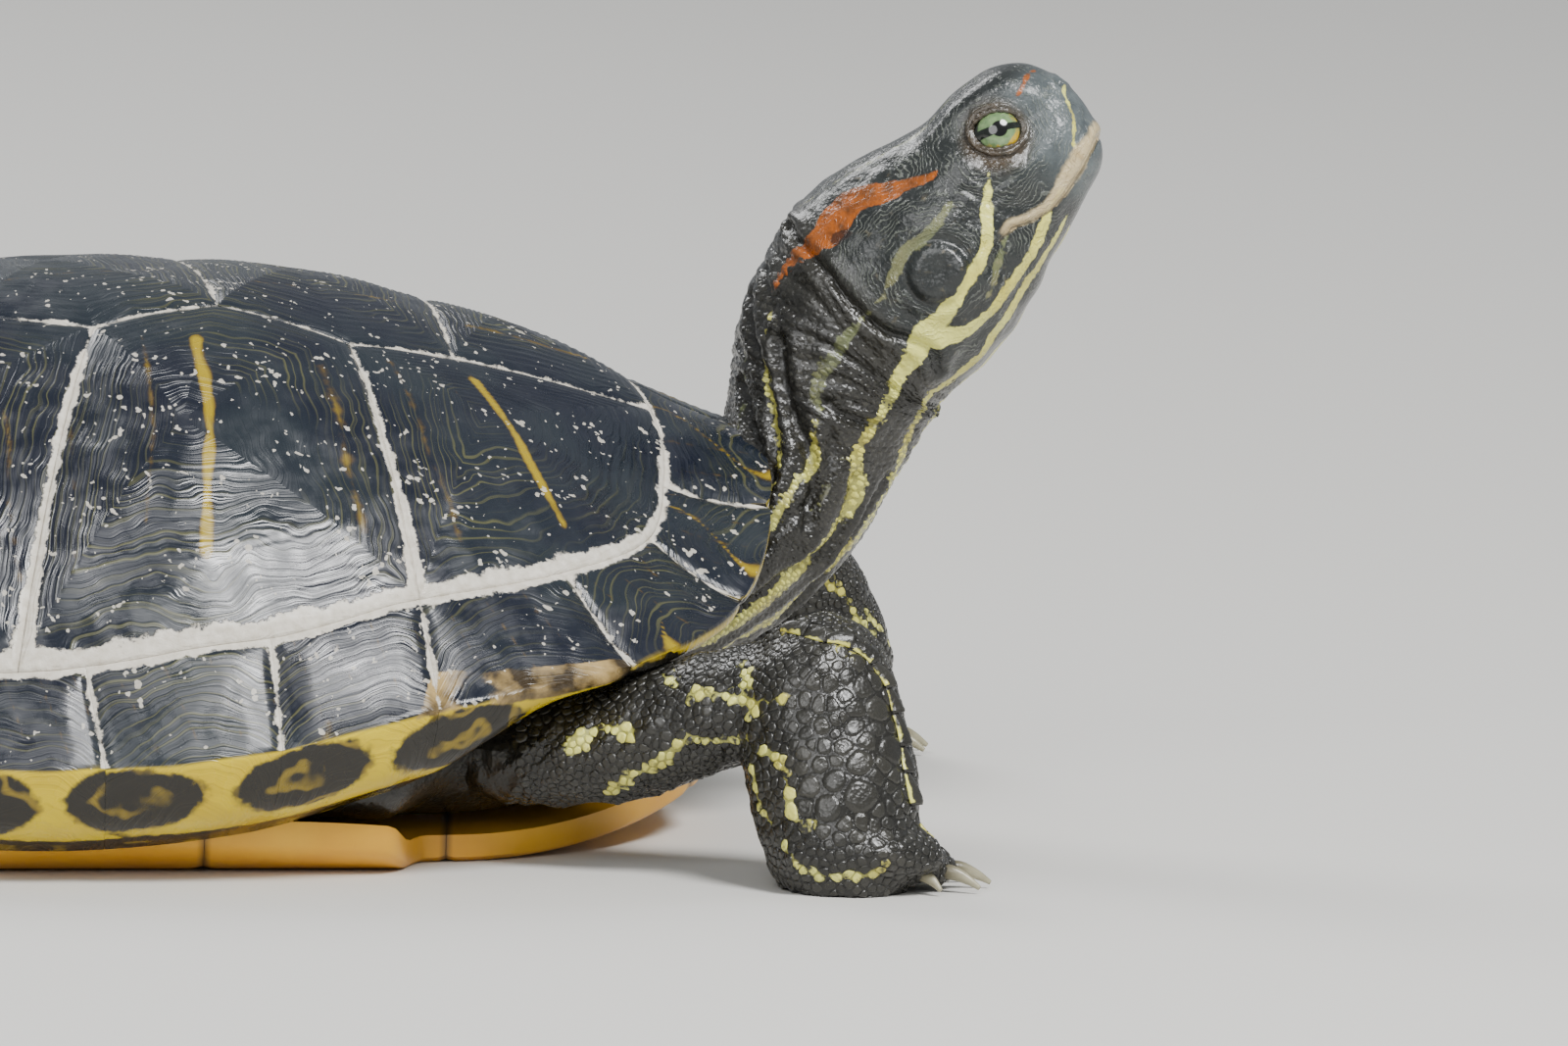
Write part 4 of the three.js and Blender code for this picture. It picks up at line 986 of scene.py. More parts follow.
# stripes: where each runs on the skin, with its half width in mm
# on the head and neck a point of a stripe is (distance along from inside the shell, degrees round from the top,
# half width)
neckStripes = {"pale": [[(116.9, 131, 0.6), (113, 136, 0.9), (110, 140, 1.1), (105.9, 141, 1.1),
                         (102, 139, 1.15), (98.2, 137, 1.2), (93.7, 135, 1.2), (90, 131, 1.4),
                         (85.1, 121, 1.9)],
                        [(109.9, 88, 0.35), (107, 94, 0.8), (104.6, 100, 1.1), (102.9, 106, 1.1),
                         (99.6, 110, 1.2), (95.7, 110, 1.4), (92.1, 113, 1.6), (88.4, 115, 1.7),
                         (85.1, 117, 2.6), (81.5, 121, 1.9), (78.2, 125, 1.4), (73, 123, 1.3), (60.1, 113, 1.0),
                         (54.7, 112, 1.2), (52.5, 117, 1.7), (49.5, 125, 1.5), (42.5, 123, 1.5),
                         (34.9, 121, 1.5), (28.9, 123, 1.5), (8, 125, 1.4)],
                        [(114, 163, 0.7), (106, 156, 1.0), (100.6, 153, 1.1), (93.1, 153, 1.1),
                         (87.8, 157, 1.1), (80, 155, 0.9), (63.4, 143, 0.9), (57.4, 149, 1.2), (51.7, 155, 1.3),
                         (44.1, 149, 1.3), (37.2, 143, 1.3), (8, 146, 1.3)],
                        [(112, 180, 0.7), (100, 180, 0.9), (80, 178, 0.8), (60, 181, 0.9), (35, 178, 0.9),
                         (8, 180, 0.9)],
                        [(70, 165, 0.6), (55, 168, 0.8), (40, 164, 0.7), (20, 165, 0.8)],
                        [(60, 79, 0.6), (53.9, 84, 0.95), (49.5, 90, 1.1), (44.8, 84, 1.0), (25, 86, 1.0),
                         (8, 86, 1.0)],
                        [(69, 41, 0.35), (67.1, 43, 0.5), (61.5, 43, 0.5), (55.4, 53, 0.7), (51, 63, 0.7),
                         (46.4, 68, 0.7), (25, 70, 0.7)],
                        [(127.2, 27, 0.2), (126.6, 60, 0.32), (125.7, 94, 0.34), (122.9, 112, 0.36)]],
               "faint": [[(102, 80, 0.5), (98.2, 82, 1.0), (94.7, 82, 1.1), (91, 82, 1.0), (87.3, 86, 1.0),
                          (83.3, 90, 0.5), (76.9, 92, 0.8), (72, 88, 1.15), (67.1, 82, 1.3), (62.8, 76, 1.0),
                          (58.8, 80, 0.9)],
                         [(105.5, 117, 0.6), (102, 121, 0.8), (98.7, 125, 0.7), (95.2, 126, 0.5)],
                         [(64, 22, 0.4), (52, 26, 0.4), (40, 24, 0.5), (20, 28, 0.5)],
                         [(118, 8, 0.2), (104, 20, 0.4), (92, 22, 0.4), (80, 16, 0.35)],
                         [(54, 103, 0.4), (48, 104, 0.5), (44, 103, 0.4)]],
               "red": [[(103.4, 61, 0.35), (101.5, 60, 0.8), (98, 54, 1.3), (94.2, 50, 2.2), (90, 45, 2.6),
                        (86.5, 45, 3.2), (83, 50, 3.2), (80, 51, 2.3), (77.5, 49, 1.7), (74.5, 43, 0.9)],
                       [(74.5, 42, 0.8), (72, 39, 0.5), (70.4, 41, 0.3)],
                       [(119.6, 61, 0.3), (120.7, 57, 0.36), (122.7, 47, 0.34), (124.8, 22, 0.3)]],
               "dark": [[(85, 58, 1.0), (83.5, 57, 1.3)]]}
# on the limbs a stripe is a row of points in mm
limbStripes = [([(103.5, -84.4, 31), (103.9, -80.1, 36), (106.5, -80.3, 40.2), (111, -83.1, 42),
                 (113.7, -85.7, 41.6), (118.3, -88.7, 39.7), (122, -88.8, 37.4)],
                0.5),
               ([(103.7, -82.8, 34.1), (103.5, -84.4, 30.8), (104.2, -86, 29.6)], 2.2),
               ([(94, -80, 31), (97.6, -81.1, 31), (101.1, -83.1, 30.9), (104, -86, 30.2)], 1.2),
               ([(104, -85.5, 30.3), (105.3, -87.3, 30.3), (108.5, -91, 31.4)], 1.2),
               ([(77.2, -71.4, 20.6), (80.4, -72.5, 23.6), (84, -74.5, 24.6), (86.1, -76.2, 23.8)], 1.4),
               ([(84.5, -69.6, 12.8), (86.6, -74.5, 16.7), (88.7, -75.9, 17.7), (92.2, -78.6, 20.4),
                 (94.6, -80.8, 24.2)],
                1.1),
               ([(94.6, -80.8, 24.2), (97.8, -81.4, 23.6), (100.3, -81.9, 23.4), (103.8, -86.8, 24.6)], 0.7),
               ([(92.3, -72.3, 33.1), (93.8, -76.7, 32.1)], 0.8),
               ([(105, -89.7, 22.6), (107.6, -93.7, 21.7), (108.4, -95.4, 18), (108.9, -96.6, 14.3),
                 (110.2, -98.1, 12.3), (112.5, -99, 11.8)],
                0.95),
               ([(103.9, -88.6, 20.4), (105, -90.2, 14.8), (106.4, -93.1, 11.3)], 0.7),
               ([(108.1, -96.6, 7.9), (112.2, -99, 4.2), (116.3, -101.2, 3.8), (121.5, -101.5, 4.4),
                 (123.8, -102.6, 6)],
                0.75),
               ([(131.5, -93.4, 10.5), (134, -94, 9)], 0.9),
               ([(148.4, 68.6, 31.2), (152.2, 69.7, 28.5), (154, 70.1, 25.9), (156.9, 71, 21.9),
                 (160, 72.6, 17.4), (162.5, 75.9, 14.4)],
                0.9),
               ([(157.5, 72.5, 24.5), (159.1, 73.4, 22.9), (162, 76, 19)], 0.7)]


def tubePoint(line):
    # points on the smooth head and neck tube, at a distance along and an angle round
    sides, line = neckLook["sides"], np.asarray(line, float)
    rings = smoothNeck[:-2].reshape(-1, sides, 3)
    i = np.interp(line[:, 0], neckLength, np.arange(len(neckLength)))
    j = line[:, 1] / 360 * sides
    a, b = np.floor(i).astype(int), np.floor(j).astype(int)
    a = np.minimum(a, len(rings) - 2)
    fi, fj = (i - a)[:, None], (j - b)[:, None]
    return mix(mix(rings[a, b % sides], rings[a, (b + 1) % sides], fj),
               mix(rings[a + 1, b % sides], rings[a + 1, (b + 1) % sides], fj), fi)


def alongLimb(spec, key, angle, low, high, side, half):
    rows = spec[key]
    t = np.linspace(low, high, 24)
    row = through(rows, t)
    along = unit((through(rows, t + 0.02) - through(rows, t - 0.02))[:, :3])
    over = unit(np.cross([0, -1, 0], along))
    beside = np.cross(along, over)
    a = math.radians(angle) + 0.18 * np.sin(t * 3 + angle)
    p = row[:, :3] + over * (np.cos(a) * row[:, 3])[:, None] + beside * (np.sin(a) * row[:, 4])[:, None]
    return p * [1, side, 1], half


def stripeTrees():
    found = {}
    for kind, lines in neckStripes.items():
        spots, widths = [], []
        for line in lines:
            dense = through(np.array(line, float), np.linspace(0, len(line) - 1, len(line) * 26))
            for mirror in (False, True):
                at = dense.copy()
                if mirror:
                    at[:, 1] = 360 - at[:, 1]
                spots.append(tubePoint(at))
                widths.append(dense[:, 2])
        found[kind] = [np.concatenate(spots), np.concatenate(widths)]
    extra = list(limbStripes)
    for key, low, high in (("upper", 1.2, 4), ("lower", 0.6, 3.6)):
        extra += [alongLimb(legs["foreleg_left"], key, angle, low, high, -1, half)
                  for angle, half in ((70, 0.8), (120, 0.9), (20, 0.6))]
        for side in (1, -1):
            extra += [alongLimb(legs["hindleg_right"], key, angle, low, high, side, half)
                      for angle, half in ((40, 0.7), (85, 0.9), (130, 1.0), (175, 0.8), (-40, 0.6))]
    pale = found["pale"]
    for line, half in extra:
        dense = through(line, np.linspace(0, len(line) - 1, len(line) * 12))
        pale[0] = np.concatenate([pale[0], dense])
        pale[1] = np.concatenate([pale[1], half * (0.75 + 0.35 * np.sin(np.arange(len(dense)) * 0.19))])
    for turn in (-60, 60, 120, 180, 240, 0):
        row = through(tailRows, np.linspace(0.5, 4.6, 80))
        a = math.radians(turn)
        high = math.cos(a) * (row[:, 3] if math.cos(a) > 0 else row[:, 4])
        line = row[:, :3] + np.stack([0 * high, math.sin(a) * row[:, 5], high], -1)
        pale[0] = np.concatenate([pale[0], line])
        pale[1] = np.concatenate([pale[1], np.full(80, 0.55)])
    trees = {}
    for kind, (spots, widths) in found.items():
        tree = KDTree(len(spots))
        for k, p in enumerate(spots.tolist()):
            tree.insert(p, k)
        tree.balance()
        trees[kind] = (tree, widths)
    return trees


def markSkin(piece, roots=None, **more):
    # how far each point lies inside the stripes, in mm; a scale takes its root's own marks and its place
    co = pointsOf(piece) if roots is None else roots
    for kind, (tree, widths) in stripes.items():
        found = [tree.find(p) for p in co.tolist()]
        value = widths[[f[1] for f in found]] - np.array([f[2] for f in found])
        addMark(piece, kind, np.clip(value, -6, 6))
    inHead = toHead(co)
    onHead = ease(inHead[:, 0], -14, -8) * (co[:, 2] > 60)
    addMark(piece, "head", onHead)
    # the snout mark lightens the front of the face in the skin material: a painted sheen
    forward = inHead[:, 0] + 0.25 * inHead[:, 2] + 2 * lumps(inHead, 6, 78)
    addMark(piece, "snout", onHead * ease(forward, 18, 27) * (1 - ease(inHead[:, 2], 9, 15)))
    over = mouthSide(inHead)
    band = mix(1.8, 3.5, bump(inHead[:, 0] - 27, 6))
    beak = np.where(over > 0, band - over, 0.5 + over) * (inHead[:, 0] > 9) + 0.25 * lumps(inHead, 5, 77)
    addMark(piece, "beak", np.clip(np.where(onHead > 0.5, beak * ease(inHead[:, 0], 11, 15), -3), -3, 3))
    eyeAway = np.minimum(*(np.linalg.norm(inHead - [eye["x"] + 1, side * 11, eye["z"]], axis=1)
                           for side in (-1, 1)))
    addMark(piece, "lid", onHead * (1 - ease(eyeAway, 4.6, 7.5)))
    # creases run round the eye, and further back round the ear drum
    aroundEye, aroundEar = (np.hypot(inHead[:, 0] - a, inHead[:, 2] - b)
                            for a, b in ((eye["x"] + 1, eye["z"]), (ear["x"], ear["z"])))
    addMark(piece, "flow", mix(aroundEar, aroundEye, ease(aroundEar - aroundEye, -3, 6)))
    addMark(piece, "crinkle", onHead * ease(aroundEar, 5, 8) * (1 - 0.6 * bump(inHead[:, 1], 4)))
    # the mouth slit is darkened in the skin material: painted shade in the recess
    slit = lineDistance(np.stack([inHead[:, 0], inHead[:, 2]], -1), mouth)
    addMark(piece, "slit", onHead * (1 - ease(slit, 0.15, 0.5)) * (np.abs(inHead[:, 1]) > 1.0))
    for key, values in more.items():
        addMark(piece, key, np.broadcast_to(values, len(co)))


def skinMaterial():
    # wet reptile skin: olive-black, oily gloss, cream stripes and a brick-red patch behind each eye
    made, node = newMaterial("wetScalySkin")
    where = node("TexCoord", out="Object")
    noise = {(size, detail): node("TexNoise", {"Vector": where, "Scale": 1000 / size, "Detail": detail})
             for size, detail in ((9, 4), (1.5, 4), (5, 4), (3, 4), (4.5, 4), (3.5, 4), (2.4, 4), (1.1, 3),
                                  (2, 4), (4, 5))}
    pale, faint, red, dark, head, snout, beak, lid, flow, crinkle, slit, edge, tint = (
        node("Attribute", attribute_name=key, out="Fac")
        for key in ("pale", "faint", "red", "dark", "head", "snout", "beak", "lid", "flow", "crinkle", "slit",
                    "edge", "tint"))
    cloud = noise[9, 4]
    fine = noise[1.5, 4]
    body = node("Mix", {0: cloud, 6: "#171715", 7: "#38362f"}, **rgba)
    face = node("Mix", {0: noise[5, 4], 6: "#0f1213", 7: "#313533"}, **rgba)
    # the front of the face is lightened to a bluish grey: a painted sheen
    snoutSheen = node("Mix", {0: noise[3, 4], 6: "#262c30", 7: "#727b7c"}, **rgba)
    face = node("Mix", {0: snout, 6: face, 7: snoutSheen}, **rgba)
    colour = node("Mix", {0: head, 6: body, 7: face}, **rgba)
    shade = node("MapRange", {"Value": tint, "To Min": 0.72, "To Max": 1.35})
    colour = node("Mix", {0: 1.0, 6: colour, 7: shade}, **rgba, blend_type="MULTIPLY")
    # fine creases over the head, about 0.7 mm apart, with pale painted highlights on the raised skin between
    # them
    bent = node("Math", {0: noise[4.5, 4], 1: 46.0}, operation="MULTIPLY")
    phase = node("Math", {0: flow, 1: 7.5, 2: bent}, operation="MULTIPLY_ADD")
    wave = node("Math", {0: phase}, operation="SINE")
    waveMask = node("MapRange", {"Value": wave, "From Min": 0.1, "From Max": 1.0}, **soft)
    waveFade = node("MapRange", {"Value": noise[3.5, 4], "From Min": 0.42, "From Max": 0.6})
    waveMask = node("Math", {0: waveMask, 1: node("Math", {0: crinkle, 1: waveFade}, operation="MULTIPLY")},
                    operation="MULTIPLY")
    # the pale colour on the raised skin between the creases is a painted highlight
    creaseHighlight = node("Math", {0: waveMask, 1: 0.4}, operation="MULTIPLY")
    colour = node("Mix", {0: creaseHighlight, 6: colour, 7: "#8a8f84"}, **rgba)
    ragged = node("Math", {0: fine, 1: 0.5}, operation="SUBTRACT")
    for mark, low, tone, other, share in ((faint, 0.0, "#7d8558", "#8f8a58", 0.6),
                                          (red, 0.0, "#a9560c", "#4c3015", 0.93),
                                          (pale, 0.0, "#e9e87c", "#c2b440", 0.96),
                                          (dark, 0.0, "#1c1512", "#2a1a12", 0.8)):
        rim = node("Math", {0: ragged, 1: 1.5, 2: mark}, operation="MULTIPLY_ADD")
        mask = node("MapRange", {"Value": rim, "From Min": low - 0.12, "From Max": low + 0.22, "To Max": share},
                    **soft)
        mottle = node("MapRange", {"Value": noise[2.4, 4] if mark is red else cloud, "From Min": 0.4,
                                   "From Max": 0.66, "To Max": 0.78})
        patch = node("Mix", {0: mottle, 6: tone, 7: other}, **rgba)
        colour = node("Mix", {0: mask, 6: colour, 7: patch}, **rgba)
    lidTint = node("Mix", {0: noise[1.1, 3], 6: "#15110c", 7: "#5a4629"}, **rgba)
    lidMask = node("Math", {0: lid, 1: 0.75}, operation="MULTIPLY")
    colour = node("Mix", {0: lidMask, 6: colour, 7: lidTint}, **rgba)
    beakMask = node("MapRange", {"Value": node("Math", {0: ragged, 1: 1.2, 2: beak}, operation="MULTIPLY_ADD"),
                                 "From Min": 0.1, "From Max": 0.9, "To Max": 0.85}, **soft)
    beakTint = node("Mix", {0: noise[2, 4], 6: "#b0935c", 7: "#f0e0b4"}, **rgba)
    colour = node("Mix", {0: beakMask, 6: colour, 7: beakTint}, **rgba)
    # darkens to near-black where the edge and slit marks are high: painted shade in the gaps between the scales
    # and in the mouth slit
    edge = node("Math", {0: edge, 1: slit}, operation="MAXIMUM")
    creaseShadeMask = node("MapRange", {"Value": edge, "From Min": 0.55, "From Max": 1.0, "To Max": 0.7}, **soft)
    colour = node("Mix", {0: creaseShadeMask, 6: colour, 7: "#0d0c0a"}, **rgba)
    rough = node("MapRange", {"Value": noise[4, 5], "From Min": 0.3, "From Max": 0.75, "To Min": 0.2,
                              "To Max": 0.42})
    grain = node("TexVoronoi", {"Vector": where, "Scale": 1500.0}, out="Distance")  # pores 0.7 mm apart
    height = node("Math", {0: grain, 1: 0.35, 2: node("Math", {0: fine, 1: waveMask}, operation="ADD")},
                  operation="MULTIPLY_ADD")
    normal = node("Bump", {"Height": height, "Strength": 0.6, "Distance": 0.0004})
    surface = node("BsdfPrincipled", {"Base Color": colour, "Roughness": rough, "IOR": 1.48, "Normal": normal,
                                      "Coat Weight": 0.25, "Coat Roughness": 0.14})
    node("OutputMaterial", {"Surface": surface})
    return made


# the head's own forms, then the loose skin of the neck, moved over the smooth tube
smoothNeck = points
creaseLine = [(77.2, 24), (77.4, 31), (77.9, 51), (78.6, 70), (78.9, 88), (80.4, 104), (82.7, 115), (83.5, 125),
              (82, 140)]
foldLines = [(creaseLine, 1.0, 1.0),
             ([(72, 20), (69, 50), (70, 80), (71, 110), (74, 140)], 0.45, 0.8),
             ([(64, 10), (62, 40), (61, 75), (64, 110), (67, 150)], 0.35, 0.8),
             ([(52, 118), (42, 128), (33, 116), (20, 118)], 0.9, 1.2),
             ([(56, 92), (48, 100), (38, 92), (24, 96)], 0.8, 1.1),
             ([(54, 145), (44, 140), (30, 150)], 0.8, 1.1),
             ([(58, 18), (52, 35), (48, 51), (45, 66)], 1.0, 1.2),
             ([(69, 14), (65, 32), (62, 43), (54, 54), (50, 62), (38, 70), (24, 66)], 0.9, 1.1),
             ([(67, 52), (61, 57), (55.6, 68), (52.7, 82), (48, 94), (42, 104)], 1.2, 1.3),
             ([(61, 82), (60.4, 94), (60.4, 113)], 0.9, 0.9)]
for line, depth, width in foldLines:
    dense = through(np.array(line, float), np.linspace(0, len(line) - 1, len(line) * 5))
    for mirror in (False, True):
        at = dense * [1, -1] + [0, 360] if mirror else dense
        neckFolds.append((tubePoint(at), depth, width))
normal = normalsOf(neckSkin)
co = shapeNeck(points, normal, whereNeck)
onHead = (toHead(points)[:, 0] > -15) & (points[:, 2] > 60)
setPoints(neckSkin, co)
normal = normalsOf(neckSkin)
inHead = toHead(co[onHead])
co[onHead] = fromHead(shapeHead(inHead, normal[onHead] @ headPlace[:3, :3]))
co += normal * -0.25 * (1 - onHead[:, None])
setPoints(neckSkin, co)


def lidRims():
    # the beaded edges of the eyelids
    made = []
    for side in (-1, 1):
        out, long, high = eyeAxes(side)
        centre = np.array([eye["x"], side * eye["side"], eye["z"]])
        turn = np.linspace(0, 2 * math.pi, 121)[:-1]
        flat = np.outer(eyeLook["halfLong"] * 1.03 * np.cos(turn), long)
        flat = flat + np.outer(eyeLook["halfHigh"] * 1.03 * np.sin(turn), high)
        depth = np.sqrt(np.maximum(0.1, eye["radius"] ** 2 - (flat ** 2).sum(1)))
        path = centre + flat + out * depth[:, None]
        radial = unit(path - centre)
        path = path + radial * 0.3
        along = unit(np.roll(path, -1, 0) - np.roll(path, 1, 0))
        beside = np.cross(along, radial)
        aroundRim = 2 * math.pi * np.arange(12) / 12
        size = 0.40 + 0.07 * np.sin(turn * 24) + 0.06 * np.sin(turn * 7 + side)
        tall, wide = np.cos(aroundRim) * size[:, None], np.sin(aroundRim) * size[:, None] * 1.15
        ring = path[:, None] + radial[:, None] * tall[..., None] + beside[:, None] * wide[..., None]
        faces = (np.array(tubeFaces(121, 12)) % (120 * 12)).tolist()  # the last ring runs on into the first
        rim = makePiece("lidRim", fromHead(ring.reshape(-1, 3)), faces)
        turnOutward(rim)
        made.append(rim)
    return made


def shapeLimb(piece, seed):
    # soft folds where a limb bends, and small unevenness
    p, normal = pointsOf(piece), normalsOf(piece)
    side = -1 if piece.name.endswith("right") else 1
    fore = piece.name.startswith("fore")
    move = 0.25 * lumps(p, 6, seed) + 0.14 * lumps(p, 2.6, seed + 1)
    if fore:
        forward = p @ np.array([0.62, 0, -0.55 if side < 0 else -0.5])
        slant = np.sin((forward + 1.6 * lumps(p, 14, seed + 2)) * 0.95)
        upper = 1 - ease(p[:, 0], 96, 110)
        move += 0.5 * (1 - np.abs(slant)) * upper * ease(p[:, 0], 60, 70)
    move -= 0.25
    p = p + normal * move[:, None]
    p[:, 2] = np.maximum(p[:, 2], 0.03)
    setPoints(piece, p)


for seed, (name, piece) in enumerate(limbs.items()):
    shapeLimb(piece, 200 + 7 * seed)
stripes = stripeTrees()
tailCo, tailNormal = pointsOf(tailPart), normalsOf(tailPart)
setPoints(tailPart, tailCo + tailNormal * (0.25 * lumps(tailCo, 4, 60))[:, None])
neckTree = BVHTree.FromPolygons([Vector(p) for p in pointsOf(neckSkin).tolist()],
                                [tuple(p.vertices) for p in neckSkin.data.polygons])
limbTrees = {name: BVHTree.FromPolygons([Vector(p) for p in pointsOf(o).tolist()],
                                        [tuple(p.vertices) for p in o.data.polygons])
             for name, o in {**limbs, "tail": tailPart}.items()}


def cornersOf(piece, values):
    # the values at the three corners of each triangle
    piece.data.calc_loop_triangles()
    tri = np.zeros(len(piece.data.loop_triangles) * 3, np.int32)
    piece.data.loop_triangles.foreach_get("vertices", tri)
    return values[tri.reshape(-1, 3)]


def surfaceOf(piece):
    return cornersOf(piece, pointsOf(piece))


def scatter(corners, sizeAt, tries, seed, warped=None, byHand=()):
    # points whose spacing follows sizeAt, by throwing and keeping what has room; those given in a list come
    # first
    r = np.random.default_rng(seed)
    area = np.linalg.norm(np.cross(corners[:, 1] - corners[:, 0], corners[:, 2] - corners[:, 0]), axis=1)
    pick = r.choice(len(corners), tries, p=area / area.sum())
    a, b = r.random((2, tries, 1))
    beyond = a + b > 1
    a, b = np.where(beyond, 1 - a, a), np.where(beyond, 1 - b, b)
    inside = lambda c: c[pick, 0] + (c[pick, 1] - c[pick, 0]) * a + (c[pick, 2] - c[pick, 0]) * b
    spots = inside(corners)
    rooms = spots if warped is None else inside(warped)
    sizes = sizeAt(spots)
    keep = sizes > 0
    spots, rooms, sizes = spots[keep], rooms[keep], sizes[keep]
    order = np.argsort(-sizes + r.normal(0, 0.12, len(sizes)))
    if len(byHand):
        hand = np.array(byHand, float)
        spots, rooms = np.concatenate([hand[:, :3], spots]), np.concatenate([hand[:, :3], rooms])
        sizes = np.concatenate([hand[:, 3], sizes])
        order = np.concatenate([np.arange(len(hand)), order + len(hand)])
    cell = 3.0
    grid, kept = {}, []
    for k in order.tolist():
        x, y, z = rooms[k].tolist()
        size = float(sizes[k])
        i, j, m = int(x // cell), int(y // cell), int(z // cell)
        span = 3 if len(byHand) else 1 if size < 1.6 else 2 if size < 3 else 3
        near = (q for di in range(-span, span + 1) for dj in range(-span, span + 1)
                for dm in range(-span, span + 1) for q in grid.get((i + di, j + dj, m + dm), ()))
        if k < len(byHand) or all((qx - x) ** 2 + (qy - y) ** 2 + (qz - z) ** 2 > (0.86 * (qs + size)) ** 2
                                  for qx, qy, qz, qs in near):
            grid.setdefault((i, j, m), []).append((x, y, z, size))
            kept.append(k)
    return spots[kept], sizes[kept]


scaleLooks = {"neck": dict(sides=6, height=0.1, levels=((0.6, 1.0), (1.0, -0.5)), gap=0.04, stretch=1.55)}
for name, sides in (("foreleg_right", 12), ("foreleg_left", 11), ("hindleg_right", 9), ("hindleg_left", 9),
                    ("tail", 9)):
    scaleLooks[name] = dict(sides=sides, height=0.25, levels=((0.58, 1.0), (0.88, 0.8), (1.0, -0.6)), gap=0.07,
                            stretch=1.0)


def growScales(name, look, slotTree, spots, sizes, uvAt, alongAt=None, seed=0):
    # a flat plate on the skin for each scale, whose edge runs half way to each neighbour
    r = np.random.default_rng(seed)
    finder = KDTree(len(spots))
    for k, p in enumerate(spots.tolist()):
        finder.insert(p, k)
    finder.balance()
    sides, levels, stretch = look["sides"], look["levels"], look["stretch"]
    theta = 2 * math.pi * np.arange(sides) / sides
    c, s = np.cos(theta), np.sin(theta)
    total = 1 + sides * len(levels)
    # edge darkens the outer rim of each scale in the skin material: painted shade in the gaps between scales
    edge = [0.0] + sum([[e] * sides for e in ([0.1, 0.5, 1.0] if len(levels) == 3 else [0.2, 0.82])], [])
    points, roots, edges, tints, uvs = [], [], [], [], []
    for k, (spot, size) in enumerate(zip(spots, sizes)):
        hit, normal, _, _ = slotTree.find_nearest(spot.tolist())
        normal = np.array(normal)
        u = np.cross(normal, [0, 0, 1] if abs(normal[2]) < 0.9 else [1, 0, 0])
        if alongAt:
            along = alongAt(spot)
            u = along - normal * (along @ normal)
        u /= np.linalg.norm(u)
        v = np.cross(normal, u)
        found = finder.find_range(spot.tolist(), size * 2 + 1.8)
        others = np.array([list(q[0]) for q in found if q[1] != k]).reshape(-1, 3) - spot
        shares = size / (size + sizes[[q[1] for q in found if q[1] != k]])
        a, b = others @ u * stretch, others @ v
        flat = np.hypot(a, b)
        radius = np.full(sides, size * 1.75)
        if len(others):
            facing = np.cos(theta[:, None] - np.arctan2(b, a)[None])
            room = np.where(facing > 0.05, flat * shares / np.maximum(facing, 0.05), 99).min(1)
            radius = np.minimum(radius, room)
        radius = np.maximum(0.25 * size, radius - look["gap"] - 0.015 * size)
        radius = 0.84 * radius + 0.08 * (np.roll(radius, 1) + np.roll(radius, -1))
        tall = look["height"] * (0.55 + 0.3 * size) * r.uniform(0.85, 1.15)
        shade = r.random()
        base = np.array(hit)
        points.append(base + normal * tall)
        for f, h in levels:
            ring = base + u * (c * radius * f / stretch)[:, None] + v * (s * radius * f)[:, None]
            for p in ring.tolist():
                at, n, _, _ = slotTree.find_nearest(p)
                if n.dot(Vector(normal)) < 0.2:
                    n = Vector(normal)
                points.append(np.array(at) + np.array(n) * tall * h)
        roots += [base] * total
        edges += edge
        tints += [shade] * total
        centre = np.array(uvAt(base))
        uvs.append(centre)
        for f, _ in levels:
            uvs += [centre + 0.0015 * f * np.array([x, y]) for x, y in zip(c, s)]
    faces = []
    template = [(0, 1 + i, 1 + (i + 1) % sides) for i in range(sides)]
    for level in range(len(levels) - 1):
        low = 1 + level * sides
        template += [(low + i, low + sides + i, low + sides + (i + 1) % sides, low + (i + 1) % sides)
                     for i in range(sides)]
    for k in range(len(spots)):
        faces += [tuple(q + k * total for q in face) for face in template]
    return finishCoat(name, np.array(points), faces, uvs, np.array(roots), edges, tints)


def insideBox(points):
    return np.clip(points, np.array(cadBox[0]) / mm + 0.03, np.array(cadBox[1]) / mm - 0.03)


def finishCoat(name, points, faces, uvs, roots, edges, tints, **more):
    piece = makePiece(name, insideBox(points), faces)
    layer = piece.data.uv_layers.new(name="OFBake")
    index = np.zeros(len(piece.data.loops), np.int32)
    piece.data.loops.foreach_get("vertex_index", index)
    layer.data.foreach_set("uv", np.array(uvs)[index].astype(np.float32).ravel())
    markSkin(piece, roots, edge=np.array(edges), tint=np.array(tints), **more)
    dress(piece, skinMat, "skin")
    return piece


skinMat = skinMaterial()
neckFinder = KDTree(len(points))
for k, p in enumerate(points.tolist()):
    neckFinder.insert(p, k)
neckFinder.balance()


def neckScaleSize(spots):
    # small flat scales over the neck, from the shell up to the crease behind the head; finer at the throat
    sizes = np.zeros(len(spots))
    for k, p in enumerate(spots.tolist()):
        s, turn = whereNeck[neckFinder.find(p)[1]]
        fold = abs(math.degrees(turn) - 180)
        if 18 < s < 77 + 6 * (1 - fold / 180):
            sizes[k] = mix(0.52, 0.66, min(1, fold / 120))
    return sizes * (1 + 0.15 * lumps(spots, 9, 80))


neckRings = smoothNeck[:-2].reshape(-1, neckLook["sides"], 3).mean(1)
neckAhead = np.gradient(neckRings, axis=0)


def neckAlong(p):
    ahead = neckAhead[min(neckFinder.find(list(p))[1] // neckLook["sides"], len(neckAhead) - 1)]
    return ahead / np.linalg.norm(ahead)


def neckUv(p):
    s, turn = whereNeck[neckFinder.find(list(p))[1]]
    return 0.01 + 0.98 * turn / (2 * math.pi), 0.01 + 0.98 * s / neckLength[-1]


